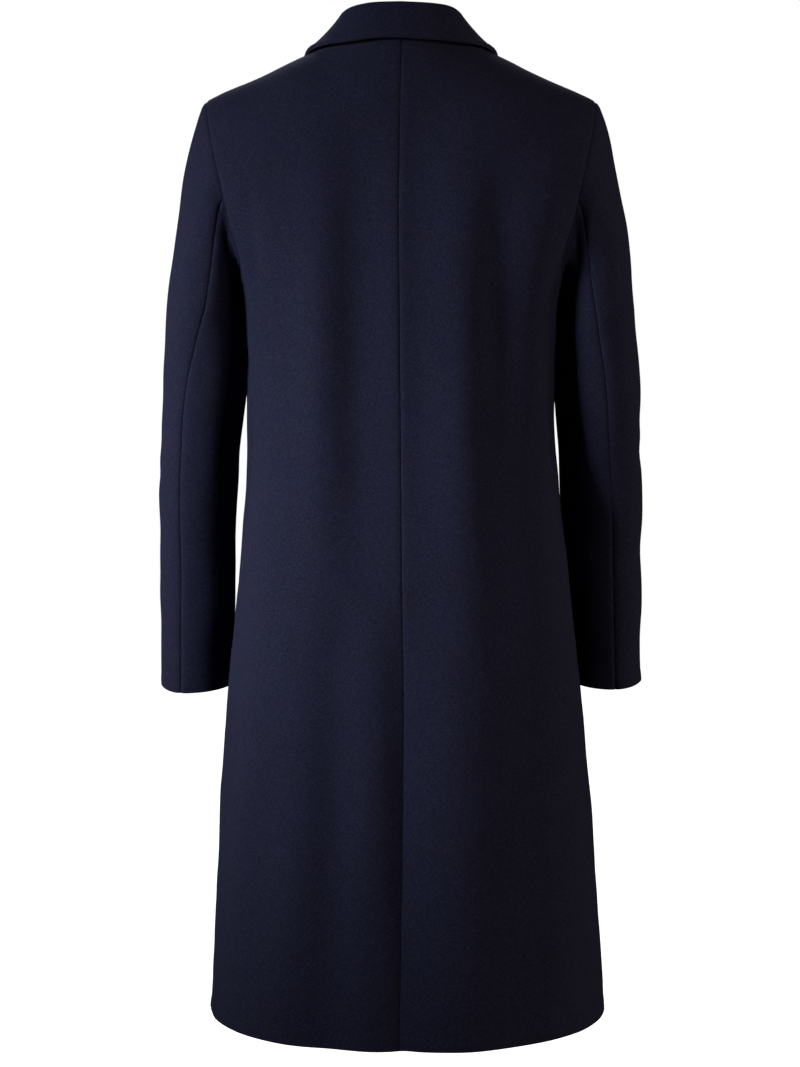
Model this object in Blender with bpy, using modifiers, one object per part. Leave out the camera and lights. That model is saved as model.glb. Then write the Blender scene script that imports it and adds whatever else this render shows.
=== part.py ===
"""A long single-breasted wool overcoat that keeps its worn shape, hollow and open.

Tables and constants are in millimetres, and the meshes are in metres.  +Z is up, the front
faces -Y and the wearer's left is +X.  The origin is on the centre line, at the height where
the neck seam meets the shoulder seams.

Every panel is an open surface with a Solidify wall.  The body's surface is a stack of rounded
rings closed at the top by a shoulder roof.  A panel's rows are traced on that surface and
spaced out evenly.  The sleeves, the lapels and the collar start from the panels' own edge
points, so that the pieces meet a seam gap apart.
"""

import math
from collections import namedtuple
from functools import lru_cache

import bmesh
import bpy
import numpy as np

COLLECTION = "wool_overcoat"
MM = 0.001

WALL = 2.4
SEAM_GAP = 0.3
SEAM_STRIP = 1.4
TURNED_SEAM_GAP = 0.55

# The shoulder roof: its ridge carries the shoulder seams.
RIDGE_AT_CENTRE = 33.7
RIDGE_SLOPE = 0.45
ROOF_HEIGHT = 90.0
ROOF_POWER = 2.2
RING_POWER = 2.2
NECK_HALF_WIDTH = 78.0
NECK_BACK_DEPTH = 68.0
NECK_DOME_HEIGHT = 30.0
SHOULDER_HALF_WIDTH = 204.0

# Heights that divide the body's rows.
CHEST_LEVEL = -190.0
UNDERARM_LEVEL = -250.0
GORGE_LEVEL = -48.0
BREAK_LEVEL = -330.0
HEM_LEVEL = -1020.0
HEM_DROP_BACK = 6.0
HEM_DROP_FRONT = -3.0

# Front closing.
LAP = 28.0
LAP_OFFSET = 1.9
LAP_BULGE = 4.5
LAP_BULGE_RISES = (-365.0, -315.0)
LAP_BULGE_FALLS = (-205.0, -160.0)
LAP_FULL_TO = 25.0
LAP_GONE_AT = 95.0
LAP_STARTS = -130.0
LAP_FULL_BELOW = -215.0
BUTTON_LEVELS = (-386.0, -491.0, -596.0)
BUTTON_RADIUS = 14.0
BUTTON_THICKNESS = 4.0
BUTTON_RIM = 0.8
BUTTON_CLEARANCE = 1.2
BUTTON_SIDES = 24
BUTTON_TILT_STEP = 5.0

# Lapels and collar: how cloth turns over, and how far it stands off what it lies on.
ROLL_RADIUS = 3.0
ROLL_RADIUS_AT_BREAK = 1.8
LAPEL_SPRING = 2.0
LAPEL_STOPS_ABOVE_BREAK = 4.0
FALL_CLEARANCE = 0.5
COLLAR_LEAN = 0.3
STAND_HANDLES = (0.3, 0.35)
FALL_HANDLES = (0.35, 0.2)

BodyRing = namedtuple("BodyRing", "level half_width back_depth front_depth centre")
BODY_RINGS = (
    BodyRing(-1035, 211.2, 184.0, 162.0, -7.5),
    BodyRing(-951, 206.3, 172.0, 157.0, -7.2),
    BodyRing(-864, 200.9, 160.0, 151.0, -6.3),
    BodyRing(-734, 190.8, 142.0, 142.0, -4.5),
    BodyRing(-626, 181.5, 127.0, 134.0, -3.5),
    BodyRing(-560, 175.1, 117.0, 129.0, -2.7),
    BodyRing(-477, 166.6, 103.0, 124.0, -1.2),
    BodyRing(-400, 161.6, 95.5, 123.0, 0.0),
    BodyRing(-350, 161.4, 96.0, 127.0, 0.0),
    BodyRing(-300, 163.5, 99.0, 134.0, 0.0),
    BodyRing(-260, 169.0, 102.5, 138.0, 0.0),
    BodyRing(-225, 179.0, 104.5, 137.0, 0.0),
    BodyRing(-190, 195.0, 104.5, 132.0, 0.0),
    BodyRing(-140, 217.0, 102.0, 120.0, 0.0),
    BodyRing(-100, 221.0, 98.0, 110.0, 0.0),
    BodyRing(-50, 221.0, 92.0, 97.0, 0.0),
    BodyRing(0, 221.0, 89.0, 82.0, 0.0),
    BodyRing(40, 221.0, 88.0, 70.0, 0.0),
)

ArmholeRow = namedtuple("ArmholeRow", "level back_width front_width")
ARMHOLE = (
    ArmholeRow(-190, 177.0, 171.0),
    ArmholeRow(-155, 185.0, 179.5),
    ArmholeRow(-120, 193.0, 189.5),
    ArmholeRow(-86, 200.0, 198.5),
    ArmholeRow(-58, 204.0, 204.0),
)

SeamRow = namedtuple("SeamRow", "level x")
CENTRE_BACK_SEAM = (
    SeamRow(-1035, 2.4),
    SeamRow(-948, 1.0),
    SeamRow(-843, -1.0),
    SeamRow(-676, -2.6),
    SeamRow(-545, -1.0),
    SeamRow(-428, 0.0),
    SeamRow(-265, 1.5),
    SeamRow(-164, 2.1),
    SeamRow(-53, 0.5),
    SeamRow(10, -1.0),
)
FRONT_EDGE = (
    SeamRow(-330, -28.0),
    SeamRow(-260, -9.0),
    SeamRow(-190, 12.0),
    SeamRow(-120, 34.0),
    SeamRow(-48, 56.5),
    SeamRow(-28, 64.5),
    SeamRow(-12, 72.5),
    SeamRow(-1.4, 78.0),
)

SideSeamRow = namedtuple("SideSeamRow", "level angle")
SIDE_SEAM = (
    SideSeamRow(-1035, 5.0),
    SideSeamRow(-600, 8.0),
    SideSeamRow(-480, 15.0),
    SideSeamRow(-400, 18.0),
    SideSeamRow(-330, 13.0),
    SideSeamRow(-250, 4.0),
)

# Broad soft folds of the back: a ridge has a positive height, a valley a negative one.
Fold = namedtuple("Fold", "top bottom x_top x_bottom half_width height")
BACK_FOLDS = (
    Fold(-130, -640, 118.0, 122.0, 42.0, 3.0),
    Fold(-170, -760, 52.0, 44.0, 34.0, -3.5),
    Fold(-120, -800, -36.0, -40.0, 34.0, 2.5),
    Fold(-170, -620, -98.0, -104.0, 36.0, -3.5),
    Fold(-560, -1100, 10.0, 26.0, 46.0, -5.0),
    Fold(-560, -1100, -62.0, -84.0, 52.0, 4.0),
    Fold(-600, -1100, 118.0, 132.0, 48.0, 4.5),
)
FRONT_FOLDS = (
    Fold(-420, -1100, 96.0, 112.0, 46.0, 4.0),
    Fold(-420, -1100, -90.0, -108.0, 46.0, 4.5),
    Fold(-180, -480, 78.0, 64.0, 34.0, -3.0),
    Fold(-180, -480, -78.0, -64.0, 34.0, -3.0),
)

SleeveRing = namedtuple(
    "SleeveRing", "level centre_x half_width centre_y half_depth seam_left seam_right"
)
SLEEVE_RINGS = (
    SleeveRing(-686, 221.0, 35.6, -66.0, 47.5, 73.0, 80.0),
    SleeveRing(-600, 219.0, 38.1, -48.0, 49.0, 73.0, 81.0),
    SleeveRing(-500, 217.6, 39.7, -28.0, 51.5, 74.0, 82.0),
    SleeveRing(-430, 215.2, 40.6, -17.0, 54.0, 75.0, 85.0),
    SleeveRing(-350, 209.9, 42.0, -10.0, 57.0, 78.0, 86.0),
    SleeveRing(-310, 209.9, 39.2, -8.0, 59.0, 83.0, 90.0),
    SleeveRing(-275, 210.5, 35.8, -7.0, 61.0, 88.0, 94.0),
)
SLEEVE_POWER = 2.1
BICEPS_LEVEL = -275.0
HIND_SEAM_LEVEL = -162.0
HIND_SEAM_ANGLE = 88.0
HIND_SEAM_SPREAD = 70.0
FORE_SEAM_LEVEL = -215.0

# How a sleeve column leaves the armhole and reaches the biceps ring, by its angle.
CapRow = namedtuple("CapRow", "level start reach_x reach_y reach_z")
SLEEVE_CAP = (
    CapRow(0, 10.0, -10.0, 0.0, 125.0),
    CapRow(90, 12.0, 0.0, 3.0, 48.0),
    CapRow(135, 12.0, 1.0, 4.0, 26.0),
    CapRow(180, 12.0, 6.0, 0.0, 20.0),
    CapRow(225, 12.0, 1.0, -4.0, 26.0),
    CapRow(270, 12.0, 0.0, -3.0, 48.0),
    CapRow(360, 10.0, -10.0, 0.0, 125.0),
)

LapelRow = namedtuple("LapelRow", "level edge_x edge_level")
LAPEL = (
    LapelRow(-325, -22.0, -327.5),
    LapelRow(-280, 15.0, -293.0),
    LapelRow(-225, 54.0, -250.0),
    LapelRow(-165, 90.0, -200.0),
    LapelRow(-105, 115.0, -142.0),
    LapelRow(-48, 126.0, -88.0),
)
NOTCH_SHARE = 0.56
COLLAR_POINT = (113.0, -61.0)

# The collar's roll and free edge, by the share of the neckline from centre back to gorge.
CollarRow = namedtuple(
    "CollarRow", "level roll_x roll_y roll_z edge_x edge_y edge_z radius"
)
COLLAR = (
    CollarRow(0.00, 0.0, 67.5, 34.0, 0.0, 82.0, 3.0, 4.6),
    CollarRow(0.18, 35.0, 59.5, 33.5, 47.0, 73.0, 1.8, 4.6),
    CollarRow(0.36, 55.0, 38.0, 30.5, 80.0, 45.0, -2.0, 4.4),
    CollarRow(0.52, 62.0, 2.0, 22.0, 97.0, -1.0, -5.0, 4.0),
    CollarRow(0.70, 62.0, -42.0, 0.0, 105.0, -45.0, -18.0, 3.7),
    CollarRow(0.85, 58.5, -71.0, -23.0, 110.0, -70.0, -38.0, 3.3),
    CollarRow(1.00, 54.2, -93.0, -47.5, 113.0, -85.0, -61.0, 3.0),
)

# Where a panel's rows and columns lie, as shares of the way from edge to edge.
UPPER_ROWS = (0.07, 0.16, 0.27, 0.41, 0.56, 0.77)
ARMHOLE_BOTTOM_ANGLES = (22.0, 40.0, 57.0, 72.0, 90.0)
LOWER_LEVELS = (-285, -330, -375, -430, -500, -590, -690, -800, -920)
COLUMNS_EACH_SIDE_OF_NECK = 4
FRONT_COLUMNS = (0.09, 0.18, 0.28, 0.40, 0.53, 0.68, 0.84)
CAP_SHARES = (0.0, 0.16, 0.31, 0.48, 0.70, 1.0)
SLEEVE_LEVELS = (-312, -360, -425, -505, -595, -686)
LAPEL_SHARES = (0.04, 0.25, 0.5, 0.75, 1.0)
ROLL_TURNS = (0, 45, 90, 135, 180)
STAND_SHARES = (0.0, 0.12, 0.4, 0.7, 1.0)
FALL_SHARES = (0.1, 0.3, 0.5, 0.75, 1.0)
NOTCH_STEP = 0.6
GORGE_GAP = 0.8

# How finely rows are traced before their points are spaced out.
DENSE = 120
ROW_CROWDING = 2.4
HALVINGS = 40
SLOPE_STEP = 0.05
LIFT_ROUNDS = 4

FABRIC_COLOUR = (0.0065, 0.0080, 0.0245, 1.0)
FABRIC_ROUGHNESS = 0.9
BUTTON_COLOUR = (0.006, 0.006, 0.010, 1.0)
BUTTON_ROUGHNESS = 0.4


# ---- smooth tables -------------------------------------------------------------------------


def column(table, name):
    """A smooth curve through one column of a table, as a function of its level."""
    rows = sorted(table, key=lambda row: row.level)
    levels = np.array([row.level for row in rows], dtype=float)
    values = np.array([getattr(row, name) for row in rows], dtype=float)
    slopes = np.gradient(values, levels)

    def at(level):
        level = np.clip(level, levels[0], levels[-1])
        i = np.clip(np.searchsorted(levels, level) - 1, 0, len(levels) - 2)
        step = levels[i + 1] - levels[i]
        t = (level - levels[i]) / step
        near = values[i] * (1 + 2 * t) + slopes[i] * step * t
        far = values[i + 1] * (3 - 2 * t) - slopes[i + 1] * step * (1 - t)
        return near * (1 - t) ** 2 + far * t**2

    return at


HALF_WIDTH = column(BODY_RINGS, "half_width")
BACK_DEPTH = column(BODY_RINGS, "back_depth")
FRONT_DEPTH = column(BODY_RINGS, "front_depth")
CENTRE = column(BODY_RINGS, "centre")
CENTRE_BACK = column(CENTRE_BACK_SEAM, "x")
FRONT_EDGE_X = column(FRONT_EDGE, "x")
SIDE_ANGLE = column(SIDE_SEAM, "angle")


def smoothstep(start, end, value):
    t = np.clip((value - start) / (end - start), 0.0, 1.0)
    return t * t * (3 - 2 * t)


def unit(vectors):
    return vectors / np.maximum(np.linalg.norm(vectors, axis=-1, keepdims=True), 1e-9)


# ---- the body's surface --------------------------------------------------------------------


def neck_dome():
    """An even quartic that meets the straight ridge smoothly at the neck's width."""
    edge = NECK_HALF_WIDTH
    drop = RIDGE_AT_CENTRE - RIDGE_SLOPE * edge - NECK_DOME_HEIGHT
    quartic = (-RIDGE_SLOPE * edge - 2 * drop) / (2 * edge**4)
    square = drop / edge**2 - quartic * edge**2
    return lambda x: NECK_DOME_HEIGHT + square * x**2 + quartic * x**4


NECK_DOME = neck_dome()


def ridge(x):
    """The height of the shoulder ridge: straight over the shoulders, domed under the neck."""
    straight = RIDGE_AT_CENTRE - RIDGE_SLOPE * np.abs(x)
    return np.where(np.abs(x) < NECK_HALF_WIDTH, NECK_DOME(x), straight)


def roof_rise(x, z):
    """0 below the shoulder roof, 1 on its ridge."""
    return np.clip((z - ridge(x) + ROOF_HEIGHT) / ROOF_HEIGHT, 0.0, 1.0)


def fold_depth(folds, x, z):
    """How far the folds stand out from the plain surface."""
    total = np.zeros(np.broadcast(x, z).shape)
    for fold in folds:
        share = np.clip((fold.top - z) / (fold.top - fold.bottom), 0.0, 1.0)
        middle = fold.x_top + (fold.x_bottom - fold.x_top) * share
        across = np.exp(-(((x - middle) / fold.half_width) ** 2))
        total = total + fold.height * across * np.sin(math.pi * share) ** 0.8
    return total


def lap_offset(side, x, z):
    """The right front lies over the left one, and over the left lapel just above the break."""
    near_edge = 1 - smoothstep(LAP_FULL_TO, LAP_GONE_AT, side * x)
    offset = LAP_OFFSET * near_edge * smoothstep(LAP_STARTS, LAP_FULL_BELOW, z)
    if side > 0:
        return -offset
    bulge = smoothstep(*LAP_BULGE_RISES, z) * (1 - smoothstep(*LAP_BULGE_FALLS, z))
    return offset + LAP_BULGE * bulge * near_edge


def body_depth(x, z, front, side):
    """The surface's distance from the shoulder seams' plane."""
    span = (np.abs(x - CENTRE(z)) / HALF_WIDTH(z)) ** RING_POWER
    round_off = np.maximum(1 - span, 0.0) ** (1 / RING_POWER)
    roof = np.maximum(1 - roof_rise(x, z) ** ROOF_POWER, 0.0) ** (1 / ROOF_POWER)
    if front:
        depth = FRONT_DEPTH(z) + fold_depth(FRONT_FOLDS, x, z)
        return depth * round_off * roof + lap_offset(side, x, z)
    return (BACK_DEPTH(z) + fold_depth(BACK_FOLDS, x, z)) * round_off * roof


def on_body(x, z, front, side):
    depth = body_depth(x, z, front, side)
    return np.stack(np.broadcast_arrays(x, -depth if front else depth, z), axis=-1)


def body_value(points):
    """Below 0 inside the plain body surface, and above 0 outside it."""
    x, y, z = points[..., 0], points[..., 1], points[..., 2]
    depth = np.where(y < 0, FRONT_DEPTH(z), BACK_DEPTH(z))
    span = (np.abs(x - CENTRE(z)) / HALF_WIDTH(z)) ** RING_POWER
    reach = np.abs(y) / depth
    rise = (z - ridge(x) + ROOF_HEIGHT) / ROOF_HEIGHT
    plain = span + reach**RING_POWER - 1
    round_off = np.maximum(1 - span, 1e-3) ** (1 / RING_POWER)
    roofed = (reach / round_off) ** ROOF_POWER + np.maximum(rise, 0) ** ROOF_POWER - 1
    return np.where(rise > 0, roofed, plain)


def body_slope(points):
    """The gradient of body_value, by small steps."""
    parts = []
    for axis in np.eye(3):
        ahead = body_value(points + SLOPE_STEP * axis)
        behind = body_value(points - SLOPE_STEP * axis)
        parts.append((ahead - behind) / (2 * SLOPE_STEP))
    return np.stack(parts, axis=-1)


def body_normal(points):
    return unit(body_slope(points))


def lift_clear(points, clearance):
    """Move points out until they are at least the clearance away from the body's surface."""
    moved = np.array(points, dtype=float)
    for _ in range(LIFT_ROUNDS):
        slope = body_slope(moved)
        size = np.maximum(np.linalg.norm(slope, axis=-1), 1e-9)
        short = np.maximum(clearance - body_value(moved) / size, 0.0)
        moved = moved + (slope / size[..., None]) * short[..., None]
    return moved


# ---- tracing rows on the surface -----------------------------------------------------------


def spaced(line, places):
    """Points at the given distances along a line of points."""
    steps = np.linalg.norm(np.diff(line, axis=0), axis=1)
    along = np.concatenate([[0.0], np.cumsum(steps)])
    wanted = places(along[-1])
    return np.stack([np.interp(wanted, along, line[:, k]) for k in range(3)], axis=-1)


def seam_places(shares, start_gap, end_gap):
    """A narrow strip beside each end that is a seam keeps the wall's edge square to it."""

    def places(length):
        inner = [start_gap + (length - start_gap - end_gap) * share for share in shares]
        first = [start_gap, start_gap + SEAM_STRIP]
        last = [length - end_gap - SEAM_STRIP, length - end_gap]
        return np.array(first + inner + last)

    return places


def neckline_level(x):
    """The height at which the back surface meets the oval plan of the neck."""
    wanted = NECK_BACK_DEPTH * math.sqrt(max(1 - (x / NECK_HALF_WIDTH) ** 2, 0.0))
    low, high = ridge(x) - ROOF_HEIGHT, ridge(x)
    for _ in range(HALVINGS):
        middle = (low + high) / 2
        if float(body_depth(x, middle, False, 1)) > wanted:
            low = middle
        else:
            high = middle
    return (low + high) / 2


@lru_cache
def top_line(front, side):
    """The top edge of a panel: x and z from the neck or centre back to the shoulder point."""
    if front:
        x = np.linspace(NECK_HALF_WIDTH, SHOULDER_HALF_WIDTH, DENSE)
        return x, ridge(x)
    angles = np.linspace(0, math.pi / 2, DENSE // 2)
    neck_x = NECK_HALF_WIDTH * np.sin(angles)
    neck_z = np.array([neckline_level(x) for x in neck_x])
    shoulder_x = np.linspace(NECK_HALF_WIDTH, SHOULDER_HALF_WIDTH, DENSE - DENSE // 2 + 1)[1:]
    return np.append(neck_x, shoulder_x), np.append(neck_z, ridge(shoulder_x))


def upper_row(share, front, side):
    """A row between the top edge, at share 0, and the level chest row, at share 1."""
    top_x, top_z = top_line(front, side)
    across = (top_x - top_x[0]) / (top_x[-1] - top_x[0])
    z = top_z * (1 - share) + CHEST_LEVEL * share
    width = "front_width" if front else "back_width"
    outer = float(column(ARMHOLE, width)(z[-1]))
    inner = float(FRONT_EDGE_X(z[0])) if front else side * float(CENTRE_BACK(z[0]))
    if front:
        x = inner * (1 - across) + outer * across
    else:
        x = inner * (1 - smoothstep(0.0, NECK_HALF_WIDTH, top_x)) + outer * across
    z = z + (ridge(x) - ridge(top_x)) * (1 - share)
    return on_body(side * x, z, front, side)


def ring_angle(x, level, side):
    """The angle from the side of a body ring to a given place across it, without a sign."""
    share = side * (x - float(CENTRE(level))) / float(HALF_WIDTH(level))
    cosine = math.copysign(abs(share) ** (RING_POWER / 2), share)
    return math.acos(max(-1.0, min(1.0, cosine)))


def ring_points(level, angle, side):
    """Points on the body at angles from its side: behind is positive, in front negative."""
    cosine = np.cos(angle)
    sine = np.abs(np.sin(angle)) ** (2 / RING_POWER)
    across = np.sign(cosine) * np.abs(cosine) ** (2 / RING_POWER)
    x = CENTRE(level) + side * HALF_WIDTH(level) * across
    back = (BACK_DEPTH(level) + fold_depth(BACK_FOLDS, x, level)) * sine
    front = (FRONT_DEPTH(level) + fold_depth(FRONT_FOLDS, x, level)) * sine
    front = front + lap_offset(side, x, level)
    y = np.where(np.sin(angle) >= 0, back, -front)
    return np.stack(np.broadcast_arrays(x, y, level), axis=-1)


def lower_row(level, outer_angle, front, side, hem_share=0.0):
    """A level row from the centre line or front edge out to an angle around the ring."""
    inner_x = side * float(FRONT_EDGE_X(level)) if front else float(CENTRE_BACK(level))
    inner_angle = ring_angle(inner_x, level, side) * (-1 if front else 1)
    angle = np.linspace(inner_angle, outer_angle, DENSE)
    drop = HEM_DROP_FRONT if front else HEM_DROP_BACK
    z = level - hem_share * drop * np.sin(angle) ** 2
    return ring_points(z, angle, side)


def panel_grid(front, side):
    """All the rows of a body panel, and the number of rows beside the armhole."""
    shares = np.linspace(0, 1, DENSE // 2) ** ROW_CROWDING
    dense_rows = [upper_row(share, front, side) for share in shares]
    inner = column_shares(dense_rows[0], front)
    inner_gap = 0.0 if front else SEAM_GAP / 2
    upper = np.array([spaced(row, seam_places(inner, inner_gap, 0.0)) for row in dense_rows])
    down = seam_places(UPPER_ROWS, SEAM_GAP / 2, 0.0)
    columns = [spaced(upper[:, k], down)[:-2] for k in range(upper.shape[1])]
    rows = list(np.stack(columns, axis=1)) + [upper[-1]]

    width = float(column(ARMHOLE, "front_width" if front else "back_width")(CHEST_LEVEL))
    chest_angle = ring_angle(side * width, CHEST_LEVEL, side) * (-1 if front else 1)
    underarm_angle = math.radians(float(SIDE_ANGLE(UNDERARM_LEVEL)))

    def level_row(level, angle, end_gap, hem_share=0.0):
        places = seam_places(inner, inner_gap, end_gap)
        rows.append(spaced(lower_row(level, angle, front, side, hem_share), places))

    for turn in ARMHOLE_BOTTOM_ANGLES:
        level = CHEST_LEVEL + (UNDERARM_LEVEL - CHEST_LEVEL) * math.sin(math.radians(turn))
        share = math.cos(math.radians(turn))
        angle = underarm_angle + (chest_angle - underarm_angle) * share
        level_row(level, angle, 0.0 if turn < 90 else SEAM_GAP / 2)
    armhole_rows = len(rows)
    for level in LOWER_LEVELS:
        level_row(level, math.radians(float(SIDE_ANGLE(level))), SEAM_GAP / 2)
    level_row(HEM_LEVEL, math.radians(float(SIDE_ANGLE(HEM_LEVEL))), SEAM_GAP / 2, 1.0)
    return square_strips(np.array(rows), armhole_rows, front), armhole_rows


def square_strips(grid, armhole_rows, front):
    """Lay the narrow strips square to the armhole and to the back neck, not along the rows."""
    armhole = slice(2, armhole_rows - 1)
    edge, inner = grid[:armhole_rows, -1], grid[:armhole_rows, -3]
    out = edge_directions(edge, edge - inner)
    grid[armhole, -2] = grid[armhole, -1] - out[armhole] * SEAM_STRIP
    if not front:
        up = edge_directions(grid[0], grid[0] - grid[2])
        grid[1, :-1] = grid[0, :-1] - up[:-1] * SEAM_STRIP
    return grid


def column_shares(top_row, front):
    """Even columns; on the back one of them runs down from the end of the shoulder seam."""
    if front:
        return list(FRONT_COLUMNS)
    lengths = np.linalg.norm(np.diff(top_row, axis=0), axis=1)
    neck = lengths[: DENSE // 2 - 1].sum() / lengths.sum()
    each = COLUMNS_EACH_SIDE_OF_NECK
    before = neck * np.arange(1, each) / each
    after = neck + (1 - neck) * np.arange(0, each) / each
    return list(np.append(before, after))


# ---- sleeves -------------------------------------------------------------------------------


def tangents_along(line, closed=False):
    """Directions along a line of points, each the mean of the steps before and after it."""
    steps = unit(np.diff(line, axis=0))
    before = np.concatenate([steps[-1:] if closed else steps[:1], steps])
    after = np.concatenate([steps, steps[:1] if closed else steps[-1:]])
    return unit(before + after)


def edge_directions(edge, reference):
    """In the surface, square to an edge, and on the reference's side of it."""
    across = unit(np.cross(tangents_along(edge), body_normal(edge)))
    facing = np.sign((across * reference).sum(axis=-1, keepdims=True))
    return across * np.where(facing == 0, 1, facing)


def armhole_loop(back, front, armhole_rows):
    """Armhole points from the shoulder point down the back, under the arm and up the front."""
    keep = [r for r in range(armhole_rows) if r != 1]
    behind, before = back[keep, -1], front[keep, -1]
    tip = (behind[0] + before[0]) / 2
    under = (behind[-1] + before[-1]) / 2
    return np.array([tip, *behind[1:-1], under, *before[-2:0:-1], tip])


def sleeve_angles(loop, under):
    """The angle around the sleeve that each armhole point runs down to."""
    steps = np.linalg.norm(np.diff(loop, axis=0), axis=1)
    along = np.concatenate([[0.0], np.cumsum(steps)])
    behind = along[: under + 1] / along[under]
    before = (along[-1] - along[under:]) / (along[-1] - along[under])
    seam = int(np.argmin(np.abs(loop[:under, 2] - HIND_SEAM_LEVEL)))
    power = math.log(HIND_SEAM_ANGLE / 180) / math.log(behind[seam])
    return np.append(180 * behind**power, (360 - 180 * before)[1:]), seam


def sleeve_ring(level, angles, side):
    """A ring of the sleeve, its angles turned a little so that the seam stays in place."""
    seam = column(SLEEVE_RINGS, "seam_left" if side > 0 else "seam_right")(level)
    near = np.exp(-(((angles - HIND_SEAM_ANGLE) / HIND_SEAM_SPREAD) ** 2))
    turned = np.radians(angles + (seam - HIND_SEAM_ANGLE) * near)
    cosine, sine = np.cos(turned), np.sin(turned)
    half_width = column(SLEEVE_RINGS, "half_width")(level)
    half_depth = column(SLEEVE_RINGS, "half_depth")(level)
    across = np.sign(cosine) * np.abs(cosine) ** (2 / SLEEVE_POWER)
    along = np.sign(sine) * np.abs(sine) ** (2 / SLEEVE_POWER)
    x = side * (column(SLEEVE_RINGS, "centre_x")(level) + half_width * across)
    y = column(SLEEVE_RINGS, "centre_y")(level) + half_depth * along
    return np.stack(np.broadcast_arrays(x, y, level), axis=-1)


def sleeve_grid(loop, angles, side):
    """Rows from the armhole over the cap to the biceps ring, and on down to the cuff."""
    directions = unit(np.cross(tangents_along(loop, closed=True), body_normal(loop)))
    under = int(np.argmin(loop[:, 2]))
    directions = directions * np.sign(directions[under, 2])
    directions[0] = directions[-1] = unit(np.array([side * 1.0, 0.0, -RIDGE_SLOPE]))

    def cap(name):
        return np.array([float(column(SLEEVE_CAP, name)(angle)) for angle in angles])

    first = loop + directions * TURNED_SEAM_GAP
    second = first + directions * cap("start")[:, None]
    last = sleeve_ring(BICEPS_LEVEL, angles, side)
    reach = np.stack([side * cap("reach_x"), cap("reach_y"), cap("reach_z")], axis=-1)
    third = last + reach
    rows = []
    for t in CAP_SHARES:
        rows.append(
            first * (1 - t) ** 3
            + second * 3 * t * (1 - t) ** 2
            + third * 3 * t * t * (1 - t)
            + last * t**3
        )
    rows[1:1] = [first + directions * SEAM_STRIP]
    rows += [sleeve_ring(level, angles, side) for level in SLEEVE_LEVELS]
    return np.array(rows)


def between_seams(grid, start, end):
    """The columns of a sleeve piece, with a gap and a narrow strip beside each seam."""
    around = grid.shape[1] - 1

    def step(k):
        return unit(grid[:, (k + 1) % around] - grid[:, k % around])

    columns = [grid[:, k % around] for k in range(start, end + 1)]
    into = unit(step(start - 1) + step(start))
    back = -unit(step(end - 1) + step(end))
    half_gap = TURNED_SEAM_GAP / 2
    first = [columns[0] + into * width for width in (half_gap, half_gap + SEAM_STRIP)]
    last = [columns[-1] + back * width for width in (half_gap + SEAM_STRIP, half_gap)]
    return np.stack(first + columns[1:-1] + last, axis=1)


# ---- lapels and collar ---------------------------------------------------------------------


def fold_over(base, across, normal, radius, gap):
    """The half circle in which cloth turns back over itself."""
    turns = np.radians(ROLL_TURNS)
    out = np.append(gap, gap + SEAM_STRIP + radius * np.sin(turns))
    up = np.append(0.0, radius * (1 - np.cos(turns)))
    return base + out[:, None] * across + up[:, None] * normal


def laid_on_front(x, z, lift, side):
    """Points over the front, lifted square to it."""
    points = on_body(x, z, True, side)
    return points + body_normal(points) * np.reshape(lift, (-1, 1))


def front_edge_frame(front, side):
    """The front panel's inner edge, and the directions out of the panel and off its face."""
    edge = front[:, 0]
    outwards = edge_directions(edge, front[:, 0] - front[:, 1])
    return edge, outwards, body_normal(edge)


def lapel_grid(front, gorge, side):
    """Rows from the gorge down to the break: the roll, and then the lapel on the front."""
    edge, outwards, normals = front_edge_frame(front, side)
    lowest = int(np.argmax(edge[:, 2] < BREAK_LEVEL + LAPEL_STOPS_ABOVE_BREAK)) - 1
    rows = []
    for r in range(gorge, lowest + 1):
        level = float(edge[r, 2])
        share = (level - BREAK_LEVEL) / (edge[gorge, 2] - BREAK_LEVEL)
        radius = ROLL_RADIUS_AT_BREAK + (ROLL_RADIUS - ROLL_RADIUS_AT_BREAK) * share
        roll = fold_over(edge[r], outwards[r], normals[r], radius, SEAM_GAP)
        end_x = side * float(column(LAPEL, "edge_x")(level))
        end_z = float(column(LAPEL, "edge_level")(level))
        steps = np.array(LAPEL_SHARES)
        x = edge[r, 0] + (end_x - edge[r, 0]) * steps
        z = level + (end_z - level) * steps
        lift = 2 * radius + LAPEL_SPRING * share * np.sin(math.pi * steps)
        rows.append(np.append(roll, laid_on_front(x, z, lift, side), axis=0))
    grid = np.array(rows)
    down = unit(grid[1] - grid[0])
    first = [grid[0] + down * step for step in (GORGE_GAP / 2, GORGE_GAP / 2 + SEAM_STRIP)]
    return np.append(np.array(first), grid[1:], axis=0)


def bezier(first, second, third, last, shares):
    t = np.reshape(shares, (-1, 1))
    ends = first * (1 - t) ** 3 + last * t**3
    return ends + second * 3 * t * (1 - t) ** 2 + third * 3 * t * t * (1 - t)


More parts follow.
